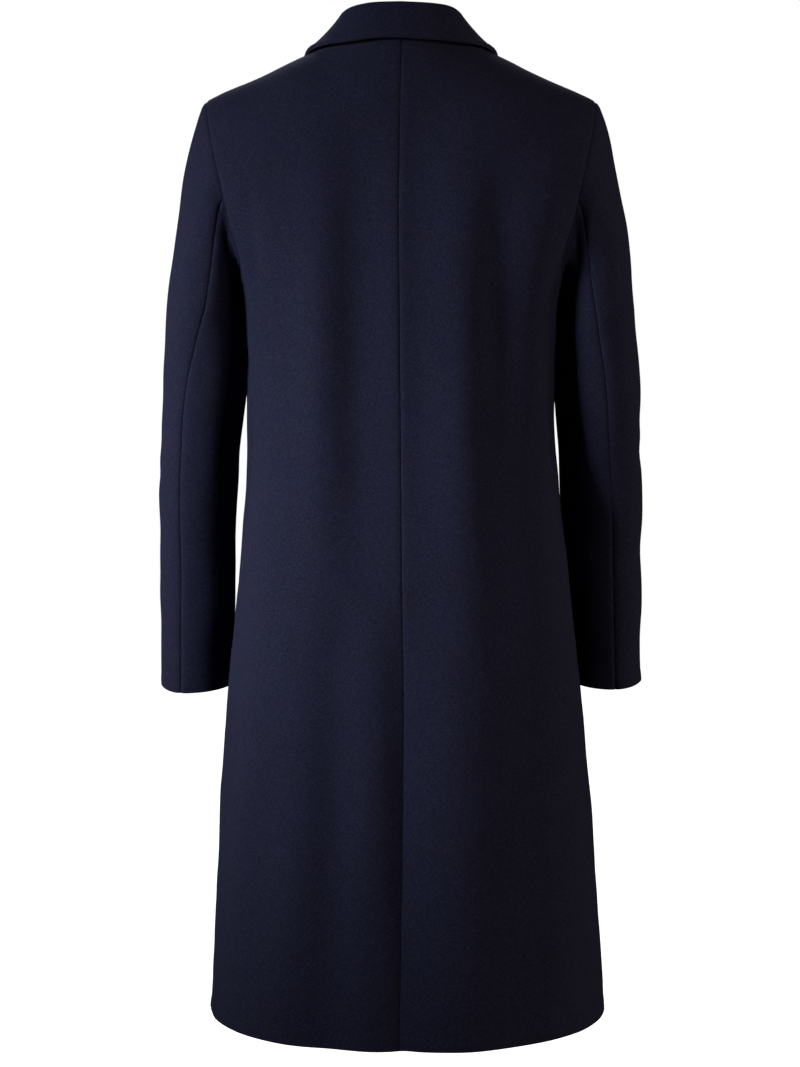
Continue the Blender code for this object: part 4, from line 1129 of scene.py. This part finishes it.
def one_for_each_button(make, name):
    """A piece for each button, made around the origin and moved to its place."""
    pieces = []
    for number, level in enumerate(BUTTON_LEVELS, start=1):
        piece = make(f"{name}_{number}")
        piece.data.transform(button_place(level))
        pieces.append(piece)
    print(len(pieces), "of", name, "with", len(pieces[0].data.polygons), "faces")
    return pieces


BUTTONS = one_for_each_button(drilled_button, "resin_button")

# %% Thread through the buttons
THREAD_RADIUS, STRAND_SHIFTS, STRAND_POINTS = 0.28, (-0.42, 0.0, 0.42), 9
STRAND_LIFT, STRAND_ARCH, STRAND_END = 0.62, 0.28, -2.0
SHANK_RADIUS, SHANK_TURNS, SHANK_HEIGHT = 1.5, 5, 2.6
SHANK_TOP, SHANK_THREAD_RADIUS, SHANK_POINTS_A_TURN = -1.7, 0.4, 16
THREAD_SIDES, OFF_EVERY_THREAD = 8, (0.31, 0.17, 0.94)


def tube(builder, line, radius):
    """A round thread along a line of points, with closed ends."""
    along = tangents_along(line)
    first = unit(np.cross(along, np.array(OFF_EVERY_THREAD)))
    second = np.cross(along, first)
    rings = []
    for point, u, v in zip(line, first, second):
        rings.append([
            builder.verts.new((point + radius * (cosine * u + sine * v)) * MM)
            for cosine, sine in circle(THREAD_SIDES)
        ])
    join_rings(builder, rings)
    builder.faces.new(rings[0][::-1])
    builder.faces.new(rings[-1])


def button_thread(name):
    """Two groups of three strands across the button's face, and a wound shank below it."""
    builder = bmesh.new()
    x = np.linspace(-HOLE_OFFSET, HOLE_OFFSET, STRAND_POINTS)
    rise = STRAND_LIFT + STRAND_ARCH * np.sqrt(np.maximum(1 - (x / HOLE_OFFSET) ** 2, 0))
    for across in (HOLE_OFFSET, -HOLE_OFFSET):
        for shift in STRAND_SHIFTS:
            strand = np.stack([x, across + shift + 0 * x, rise], axis=-1)
            down = [-HOLE_OFFSET, across + shift, STRAND_END]
            up = [HOLE_OFFSET, across + shift, STRAND_END]
            tube(builder, np.array([down, *strand, up]), THREAD_RADIUS)
    turn = np.linspace(0, 2 * math.pi * SHANK_TURNS, SHANK_POINTS_A_TURN * SHANK_TURNS)
    height = SHANK_TOP - SHANK_HEIGHT * turn / turn[-1]
    shank = np.stack([SHANK_RADIUS * np.cos(turn), SHANK_RADIUS * np.sin(turn), height], axis=-1)
    tube(builder, shank, SHANK_THREAD_RADIUS)
    bmesh.ops.recalc_face_normals(builder, faces=builder.faces)
    thread = built(name, builder)
    thread.data.shade_smooth()
    return thread


THREADS = one_for_each_button(button_thread, "button_thread")

# %% [markdown]
# ### One node tree for every row of stitches
#
# Hand stitches are alike but never identical, and they follow an edge.  They could be copied in a
# loop.  A Geometry Nodes tree does it with a few named sizes instead: it spaces points along a
# path, lays a little arch of thread on each, turns it to stand on the cloth, and varies it from a
# fixed seed.  Its result is turned into a plain mesh in the end.

# %% Adding nodes
def set_inputs(tree, node, inputs):
    """Set or link a node's inputs by name or number."""
    for name, value in inputs.items():
        if isinstance(value, bpy.types.NodeSocket):
            tree.links.new(value, node.inputs[name])
        else:
            node.inputs[name].default_value = value


def add_node(tree, kind, inputs=None, **settings):
    """Add a node with its properties and its inputs."""
    node = tree.nodes.new(kind)
    for name, value in settings.items():
        setattr(node, name, value)
    set_inputs(tree, node, inputs or {})
    return node


# %% The stitch tree
STITCH_INPUTS = {
    "Spacing": ("NodeSocketFloat", 0.7 * MM), "Length": ("NodeSocketFloat", 2.4 * MM),
    "Height": ("NodeSocketFloat", 0.4 * MM), "Thread": ("NodeSocketFloat", 0.3 * MM),
    "Slant": ("NodeSocketFloat", 0.0), "Seed": ("NodeSocketInt", 1),
    "Material": ("NodeSocketMaterial", None),
}
UNEVEN_SLANT, UNEVEN_SIZE = 0.16, (0.88, 1.12)


def arithmetic(tree, operation, *values):
    """The result of one step of arithmetic on numbers."""
    return add_node(tree, "ShaderNodeMath", dict(enumerate(values)), operation=operation).outputs[0]


def uneven_number(tree, low, high, seed):
    """A number between two limits that differs from stitch to stitch."""
    inputs = {2: low, 3: high, "Seed": seed}
    return add_node(tree, "FunctionNodeRandomValue", inputs, data_type="FLOAT").outputs[1]


def stitch_tree():
    """A tree that lays stitches across a path whose points know which way the cloth faces."""
    tree = bpy.data.node_groups.new("stitches_along_a_path", "GeometryNodeTree")
    tree.interface.new_socket("Path", in_out="INPUT", socket_type="NodeSocketGeometry")
    for name, (kind, value) in STITCH_INPUTS.items():
        socket = tree.interface.new_socket(name, in_out="INPUT", socket_type=kind)
        if value is not None:
            socket.default_value = value
    tree.interface.new_socket("Stitches", in_out="OUTPUT", socket_type="NodeSocketGeometry")
    given = add_node(tree, "NodeGroupInput").outputs

    path = add_node(tree, "GeometryNodeMeshToCurve", {"Mesh": given["Path"]})
    points = add_node(
        tree, "GeometryNodeResampleCurve",
        {"Curve": path.outputs["Curve"], "Length": given["Spacing"]}, mode="LENGTH",
    )
    facing = add_node(
        tree, "GeometryNodeInputNamedAttribute", {"Name": "facing"}, data_type="FLOAT_VECTOR"
    )
    tangent = add_node(tree, "GeometryNodeInputTangent")
    standing = add_node(
        tree, "FunctionNodeAxesToRotation",
        {0: facing.outputs["Attribute"], 1: tangent.outputs["Tangent"]},
        primary_axis="Z", secondary_axis="X",
    )
    uneven = uneven_number(tree, -UNEVEN_SLANT, UNEVEN_SLANT, given["Seed"])
    slant = arithmetic(tree, "ADD", given["Slant"], uneven)
    spin = add_node(tree, "ShaderNodeCombineXYZ", {"Z": slant})
    turn = add_node(
        tree, "FunctionNodeRotateRotation",
        {"Rotation": standing.outputs["Rotation"], "Rotate By": spin.outputs["Vector"]},
        rotation_space="LOCAL",
    )

    half = arithmetic(tree, "MULTIPLY", given["Length"], 0.5)
    back = arithmetic(tree, "MULTIPLY", half, -1.0)
    peak = arithmetic(tree, "MULTIPLY", given["Height"], 2.0)
    start = add_node(tree, "ShaderNodeCombineXYZ", {"Y": back})
    middle = add_node(tree, "ShaderNodeCombineXYZ", {"Z": peak})
    end = add_node(tree, "ShaderNodeCombineXYZ", {"Y": half})
    arch = add_node(
        tree, "GeometryNodeCurveQuadraticBezier",
        {"Resolution": 5, "Start": start.outputs[0], "Middle": middle.outputs[0],
         "End": end.outputs[0]},
    )
    profile = add_node(
        tree, "GeometryNodeCurvePrimitiveCircle", {"Resolution": 6, "Radius": given["Thread"]}
    )
    stitch = add_node(
        tree, "GeometryNodeCurveToMesh",
        {"Curve": arch.outputs["Curve"], "Profile Curve": profile.outputs["Curve"],
         "Fill Caps": True},
    )
    size = uneven_number(tree, *UNEVEN_SIZE, given["Seed"])
    placed = add_node(
        tree, "GeometryNodeInstanceOnPoints",
        {"Points": points.outputs["Curve"], "Instance": stitch.outputs["Mesh"],
         "Rotation": turn.outputs["Rotation"], "Scale": size},
    )
    real = add_node(tree, "GeometryNodeRealizeInstances", {"Geometry": placed.outputs["Instances"]})
    coloured = add_node(
        tree, "GeometryNodeSetMaterial",
        {"Geometry": real.outputs["Geometry"], "Material": given["Material"]},
    )
    add_node(tree, "NodeGroupOutput", {"Stitches": coloured.outputs["Geometry"]})
    return tree


STITCHES = stitch_tree()
print("the stitch tree has", len(STITCHES.nodes), "nodes")


# %% Paths that lie on the finished cloth
def on_cloth(piece, points, way, reach=8.0):
    """Points on a finished piece's surface, on the side that lies in a given direction, and
    the way the surface faces there."""
    found, facing = [], []
    for point, direction in zip(points, np.broadcast_to(way, points.shape)):
        start = Vector((point + direction * reach) * MM)
        _, location, normal, _ = piece.closest_point_on_mesh(start)
        found.append(np.array(location) / MM)
        facing.append(np.array(normal))
    return np.array(found), np.array(facing)


def stitch_row(name, paths, material, seed, **sizes):
    """Stitches along one or more paths, each given as its points and their facing."""
    points = np.concatenate([path[0] for path in paths]) * MM
    facing = np.concatenate([path[1] for path in paths])
    edges, first = [], 0
    for path in paths:
        edges += [(k, k + 1) for k in range(first, first + len(path[0]) - 1)]
        first += len(path[0])
    mesh = bpy.data.meshes.new(name)
    mesh.from_pydata(points.tolist(), edges, [])
    held = mesh.attributes.new("facing", "FLOAT_VECTOR", "POINT")
    held.data.foreach_set("vector", facing.astype(np.float32).reshape(-1))
    piece = link_object(name, mesh)
    modifier = piece.modifiers.new("stitches", "NODES")
    modifier.node_group = STITCHES
    wanted = {"Seed": seed, "Material": material, **sizes}
    for item in STITCHES.interface.items_tree:
        if item.name in wanted:
            modifier[item.identifier] = wanted[item.name]
    finished(piece)
    piece.data.shade_smooth()
    return piece


# %% [markdown]
# ## Materials
#
# The coat is one cloth throughout, so its surface has to carry the picture.  Double-faced wool is
# woven, then fulled and brushed until the weave disappears under short curly fibres.  A picture of
# such cloth would show its own light and repeat.  Layers of noise don't repeat, and each layer has
# the size of something real: single fibres, the grain of the pile, and the cloudiness of the dye.
# The fibre layers carry painted light: pale lines painted as fibres catching the light, and dark
# lines painted as shade between fibres lower in the pile.

# %% Colours
def linear(code):
    """A colour for the shader from an sRGB hex code."""
    parts = [int(code[k : k + 2], 16) / 255 for k in (1, 3, 5)]
    return [c / 12.92 if c <= 0.04045 else ((c + 0.055) / 1.055) ** 2.4 for c in parts] + [1.0]


def new_material(name):
    """A material with its tree, its shader, and the places on the piece that it is laid on."""
    material = bpy.data.materials.new(name)
    material.use_nodes = True
    tree = material.node_tree
    tree.nodes.clear()
    shader = add_node(tree, "ShaderNodeBsdfPrincipled")
    add_node(tree, "ShaderNodeOutputMaterial", {"Surface": shader.outputs["BSDF"]})
    return material, tree, shader, add_node(tree, "ShaderNodeTexCoord").outputs["Object"]


def noise(tree, place, size, detail, **more):
    """Cloudy noise with lumps of about the given size, as a number."""
    inputs = {"Vector": place, "Scale": 1 / size, "Detail": detail, **more}
    return add_node(tree, "ShaderNodeTexNoise", inputs).outputs[0]


def remap(tree, value, low, high, to_low=0.0, to_high=1.0, **settings):
    """A number moved from one range to another, and kept within it."""
    inputs = {"Value": value, "From Min": low, "From Max": high, "To Min": to_low, "To Max": to_high}
    return add_node(tree, "ShaderNodeMapRange", inputs, **settings).outputs[0]


def mix(tree, share, first, second, **settings):
    """Two colours, each given as a hex code or a socket, mixed by a share."""
    first, second = (linear(c) if isinstance(c, str) else c for c in (first, second))
    inputs = {0: share, 6: first, 7: second}
    return add_node(tree, "ShaderNodeMix", inputs, data_type="RGBA", **settings).outputs[2]


def bump(tree, height, strength, distance):
    inputs = {"Height": height, "Strength": strength, "Distance": distance}
    return add_node(tree, "ShaderNodeBump", inputs).outputs["Normal"]


# %% Brushed double-faced wool
FIBRE_CURL, FIBRE_SPACING, FIBRE_BREAK = 2.8 * MM, 1.9 * MM, 2.4 * MM
PILE_GRAIN, DYE_CLOUD = 0.9 * MM, 30.0 * MM
# The shift moves the second layer of fibre lines, which is painted shade.
CURL_REACH, FIBRE_WIDTHS, SHADED_FIBRE_SHIFT = 1.1, (0.09, 0.11), (0.37, 0.11, 0.23)


def brushed_wool():
    """Double-faced wool, fulled and brushed.  Short fibres lie in every direction, so it is matt
    and a shade paler wherever it turns away.  Its fine flecks are partly raised fibres and partly
    painted light: pale lines painted as fibres catching the light, dark ones as shade lower in the pile."""
    material, tree, shader, place = new_material("navy_double_faced_wool")

    def vectors(operation, inputs):
        return add_node(tree, "ShaderNodeVectorMath", inputs, operation=operation).outputs[0]

    curl = add_node(
        tree, "ShaderNodeTexNoise", {"Vector": place, "Scale": 1 / FIBRE_CURL, "Detail": 1.0}
    )
    curl = vectors("SUBTRACT", {0: curl.outputs["Color"], 1: (0.5, 0.5, 0.5)})
    curl = vectors("SCALE", {0: curl, "Scale": CURL_REACH * FIBRE_CURL})
    curled = vectors("ADD", {0: place, 1: curl})

    def fibres(shift, width):
        """Thin curly lines where a noise crosses its middle value, broken into short lengths."""
        moved = vectors("ADD", {0: curled, 1: shift})
        away = arithmetic(tree, "SUBTRACT", noise(tree, moved, FIBRE_SPACING, 1.0), 0.5)
        away = arithmetic(tree, "ABSOLUTE", away)
        line = remap(tree, away, 0.0, width, 1.0, 0.0, interpolation_type="SMOOTHSTEP")
        kept = remap(tree, noise(tree, moved, FIBRE_BREAK, 0.0), 0.36, 0.56)
        return arithmetic(tree, "MULTIPLY", line, kept)

    # The first layer of fibre lines is raised in the bump and also painted paler, a painted highlight; the
    # second layer is painted darker, a painted shade lower in the pile.
    upper, shaded_fibres = fibres((0.0, 0.0, 0.0), FIBRE_WIDTHS[0]), fibres(SHADED_FIBRE_SHIFT, FIBRE_WIDTHS[1])
    grain, cloud = noise(tree, place, PILE_GRAIN, 2.0), noise(tree, place, DYE_CLOUD, 3.0)
    depth, hue = remap(tree, grain, 0.3, 0.7), remap(tree, cloud, 0.35, 0.65)
    pile = mix(tree, depth, "#1C1E2F", "#282B43")
    dyed = mix(tree, hue, "#F8F8FF", "#FFFAF6")
    pile = mix(tree, 1.0, pile, dyed, blend_type="MULTIPLY")
    # Painted shade and painted highlight: the second layer darkens the pile towards #171826, and the first
    # lightens it towards #3F4262 as fibres catching the light.
    under = arithmetic(tree, "MULTIPLY", shaded_fibres, 0.4)
    over = arithmetic(tree, "MULTIPLY", upper, 0.3)
    colour = mix(tree, under, pile, "#171826")
    colour = mix(tree, over, colour, "#3F4262")
    roughness = remap(tree, grain, 0.3, 0.7, 0.82, 0.96)
    raised = arithmetic(tree, "ADD", upper, grain)
    set_inputs(tree, shader, {
        "Base Color": colour, "Roughness": roughness, "IOR": 1.45, "Specular IOR Level": 0.06,
        "Normal": bump(tree, raised, 0.4, 0.22 * MM), "Sheen Weight": 0.07,
        "Sheen Roughness": 0.45, "Sheen Tint": linear("#B9C2F2"),
    })
    return material


# %% Buttonhole silk and button resin
PLY_LENGTH, SWIRL_SIZE, SCUFF_SIZE = 3.2 * MM, 9.0 * MM, 0.9 * MM


def twisted_silk():
    """Buttonhole silk, twisted and dyed to match.  Its smooth filaments give it a soft gleam
    that the wool beside it doesn't have."""
    material, tree, shader, place = new_material("navy_buttonhole_silk")
    ply = add_node(
        tree, "ShaderNodeTexWave",
        {"Vector": place, "Scale": 1 / PLY_LENGTH, "Distortion": 2.0, "Detail": 2.0},
    ).outputs["Fac"]
    colour = mix(tree, ply, "#14151F", "#2C2F44")
    set_inputs(tree, shader, {
        "Base Color": colour, "Normal": bump(tree, ply, 0.4, 0.08 * MM), "Roughness": 0.5,
        "IOR": 1.54, "Sheen Weight": 0.2, "Sheen Roughness": 0.35,
    })
    return material


def cast_resin():
    """Polyester resin, cast in sheets with swirled pigment, turned and tumbled.  The tumbling
    leaves a satin surface, and the swirl shows as faint cloudy bands like horn."""
    material, tree, shader, place = new_material("swirled_polyester_resin")
    swirl = noise(tree, place, SWIRL_SIZE, 4.0, Distortion=1.6)
    band = remap(tree, swirl, 0.38, 0.66)
    colour = mix(tree, band, "#0E0F18", "#262838")
    scuffs = noise(tree, place, SCUFF_SIZE, 3.0)
    roughness = remap(tree, scuffs, 0.3, 0.7, 0.26, 0.42)
    set_inputs(tree, shader, {
        "Base Color": colour, "Roughness": roughness, "Normal": bump(tree, scuffs, 0.12, 0.05 * MM),
        "IOR": 1.56,
    })
    return material


WOOL, SILK, RESIN = brushed_wool(), twisted_silk(), cast_resin()
for piece in CLOTH.values():
    piece.data.materials.append(WOOL)
for piece in BUTTONS:
    piece.data.materials.clear()
    piece.data.materials.append(RESIN)
for piece in THREADS:
    piece.data.materials.append(SILK)
print("materials:", WOOL.name, SILK.name, RESIN.name)

# %% [markdown]
# ## Buttonholes and felled hems
#
# A buttonhole is cut through both fronts' edge and worked over with close stitches.  The turned
# hems of double-faced wool are felled from the inside with short slanting stitches, far apart.
# Both come from the same tree, with other sizes.

# %% Worked buttonholes
HOLE_START, HOLE_END = 3.0, -23.0
SLIT_HALF_WIDTH, WHIP_LENGTH, CORD_OFFSET = 0.45, 2.3, 0.2
SLIT_END_POINTS, SLIT_POINTS = 13, 90


def around_slit(offset, level):
    """A long loop around the slit, at a distance from it, on the front's plain surface."""
    ends = np.radians(np.linspace(90, 270, SLIT_END_POINTS))
    left = np.stack([HOLE_END + offset * np.cos(ends), offset * np.sin(ends)], axis=-1)
    right = np.stack([HOLE_START - offset * np.cos(ends), -offset * np.sin(ends)], axis=-1)
    loop = np.array([*left, *right, left[0]])
    along = distances(loop)
    wanted = np.linspace(0, along[-1], SLIT_POINTS)
    x = np.interp(wanted, along, loop[:, 0])
    z = np.interp(wanted, along, loop[:, 1]) + level
    return on_body(x, z, True, -1)


front_right = CLOTH["front_panel_right"]
outwards = np.array([0.0, -1.0, 0.0])
hole_paths, cord_paths = (
    [on_cloth(front_right, around_slit(offset, level), outwards) for level in BUTTON_LEVELS]
    for offset in (SLIT_HALF_WIDTH + WHIP_LENGTH / 2, SLIT_HALF_WIDTH + CORD_OFFSET)
)
HOLES = stitch_row(
    "buttonhole_stitches", hole_paths, SILK, 11, Spacing=0.62 * MM, Length=WHIP_LENGTH * MM,
    Height=0.32 * MM, Thread=0.3 * MM,
)
PURL = stitch_row(
    "buttonhole_purl", cord_paths, SILK, 12, Spacing=0.6 * MM, Length=0.95 * MM,
    Height=0.42 * MM, Thread=0.36 * MM, Slant=1.1,
)
print("buttonholes:", len(HOLES.data.polygons) + len(PURL.data.polygons), "faces")

# %% Felling stitches inside the hems and cuffs
FELL_ABOVE_HEM = 9.6


def fell_line(grid):
    """The line on a panel, or around a cuff, at which its turned hem is felled down."""
    heights = np.linalg.norm(grid[:-1] - grid[-1], axis=-1).mean(axis=1)
    row = int(np.argmin(np.abs(heights - FELL_ABOVE_HEM)))
    return grid[row, len(EDGE_STEPS) - 2 : -(len(EDGE_STEPS) - 2)]


fell_paths = []
for side, word in SIDES:
    for name, grid in (("back_panel", BACKS[side]), ("front_panel", FRONTS[side])):
        line = fell_line(grid)
        fell_paths.append(on_cloth(CLOTH[f"{name}_{word}"], line, -body_normal(line)))
    for part in ("top", "under"):
        line = fell_line(SLEEVES[part, side])
        fell_paths.append(on_cloth(CLOTH[f"{part}_sleeve_{word}"], line, -sleeve_away(line, side)))
FELLING = stitch_row(
    "felling_stitches", fell_paths, SILK, 13, Spacing=6.5 * MM, Length=2.6 * MM,
    Height=0.22 * MM, Thread=0.2 * MM, Slant=0.6,
)
print("felling:", len(FELLING.data.polygons), "faces")

# %% [markdown]
# ## Floor, light and camera
#
# The coat is lit as in a small studio: one soft lamp far round to its left and behind, where it
# rakes across the back and lets every fold show, and weak fill from the other sides.  One even
# dome of light would be simpler, but it would flatten such dark cloth into a silhouette.  The
# floor and the surroundings are plain and pale.

# %% Floor and surroundings
FLOOR_LEVEL, FLOOR_HALF, FLOOR_SQUARES, PAPER_GRAIN = -1.16, 9.0, 8, 90.0


def plain_floor():
    """Seamless white studio paper, lit evenly on its own, with only a faint shadow on it."""
    material, tree, shader, place = new_material("white_studio_paper")
    fibres = add_node(
        tree, "ShaderNodeTexNoise", {"Vector": place, "Scale": PAPER_GRAIN, "Detail": 2.0}
    )
    set_inputs(tree, shader, {
        "Base Color": mix(tree, fibres.outputs[0], "#F4F4F4", "#FAFAFA"), "Roughness": 0.9,
        "Specular IOR Level": 0.0, "Emission Color": linear("#FFFFFF"), "Emission Strength": 1.0,
    })
    builder = bmesh.new()
    bmesh.ops.create_grid(
        builder, x_segments=FLOOR_SQUARES, y_segments=FLOOR_SQUARES, size=FLOOR_HALF
    )
    floor = built("studio_floor", builder)
    floor.data.transform(Matrix.Translation((0, 0, FLOOR_LEVEL)))
    floor.data.materials.append(material)
    floor.visible_diffuse = False
    floor.visible_glossy = False
    return floor


floor = plain_floor()

scene = bpy.context.scene
scene.view_settings.view_transform = "Standard"
world = bpy.data.worlds.new("white_surroundings")
world.use_nodes = True
background = world.node_tree.nodes["Background"]
background.inputs["Color"].default_value = linear("#FFFFFF")
background.inputs["Strength"].default_value = 1.0
for ray in ("diffuse", "glossy", "transmission"):
    setattr(world.cycles_visibility, ray, False)
scene.world = world


# %% Lamps
WHITE, WARM, PALE_WARM, COOL = "#FFFFFF", "#FFE6D3", "#FFF2E7", "#E8E4FF"
NARROW, WIDE = 30.0, 180.0
LAMPS = table(
    "name place aim_level size watts spread colour",
    ("key_lamp", (2.34, 1.35, 0.0), -0.46, 0.7, 2.75, NARROW, WHITE),
    ("right_fill", (-2.6, 1.5, 0.2), -0.35, 0.8, 24.0, WIDE, WARM),
    ("right_rim", (-2.95, -0.2, -0.3), -0.35, 0.8, 12.0, WIDE, WARM),
    ("left_rim", (2.95, -0.52, -0.3), -0.35, 0.8, 17.0, WIDE, PALE_WARM),
    ("high_back", (0.43, 2.46, 1.6), -0.4, 1.0, 1.2, WIDE, COOL),
    ("top_lamp", (0.0, 0.3, 2.2), -0.4, 1.5, 0.6, WIDE, COOL),
    ("front_lamp", (0.3, -2.7, 1.6), -0.45, 1.2, 28.0, WIDE, WHITE),
)


def soft_lamp(row):
    """A square soft box that faces a point on the coat's middle line, and isn't seen itself."""
    light = bpy.data.lights.new(row.name, "AREA")
    light.size, light.energy, light.spread = row.size, row.watts, math.radians(row.spread)
    light.color = linear(row.colour)[:3]
    lamp = link_object(row.name, light)
    lamp.location = row.place
    towards = Vector((0.0, 0.0, row.aim_level)) - Vector(row.place)
    lamp.rotation_euler = towards.to_track_quat("-Z", "Y").to_euler()
    lamp.visible_camera = False


for row in LAMPS:
    soft_lamp(row)

# %% Camera
CAMERA_PITCH, CAMERA_LENS, SENSOR_WIDTH = 4.603, 97.84, 36.0
CAMERA_PLACE = (0.001, 3.075, -0.2648)
camera_data = bpy.data.cameras.new("camera")
camera_data.lens, camera_data.sensor_width = CAMERA_LENS, SENSOR_WIDTH
camera = link_object("camera", camera_data)
camera.location = CAMERA_PLACE
camera.rotation_euler = (math.radians(90 - CAMERA_PITCH), 0.0, math.radians(180))
scene.camera = camera
print("camera at", [round(v, 3) for v in camera.location])

# %% [markdown]
# ## Attaching the pieces
#
# Every piece says which body of the model it moves with, and the solids that it stands for are hidden.

# %% The pieces' body, and the solids they replace
STANDS_FOR = {"collar_and_stand": ["collar"]}
for _, word in SIDES:
    STANDS_FOR[f"back_panel_{word}"] = [f"back_{word}"]
    STANDS_FOR[f"front_panel_{word}"] = [f"front_{word}", f"lapel_{word}"]
    STANDS_FOR[f"top_sleeve_{word}"] = [f"sleeve_{word}_top"]
    STANDS_FOR[f"under_sleeve_{word}"] = [f"sleeve_{word}_under"]
for name, piece in CLOTH.items():
    del piece["flat_area"]
    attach(piece, "root")
    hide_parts(*STANDS_FOR[name])
for number, (piece, thread) in enumerate(zip(BUTTONS, THREADS), start=1):
    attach(piece, "root")
    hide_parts(f"button_{number}")
    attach(thread, "root")
for piece in (HOLES, PURL, FELLING):
    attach(piece, "root")
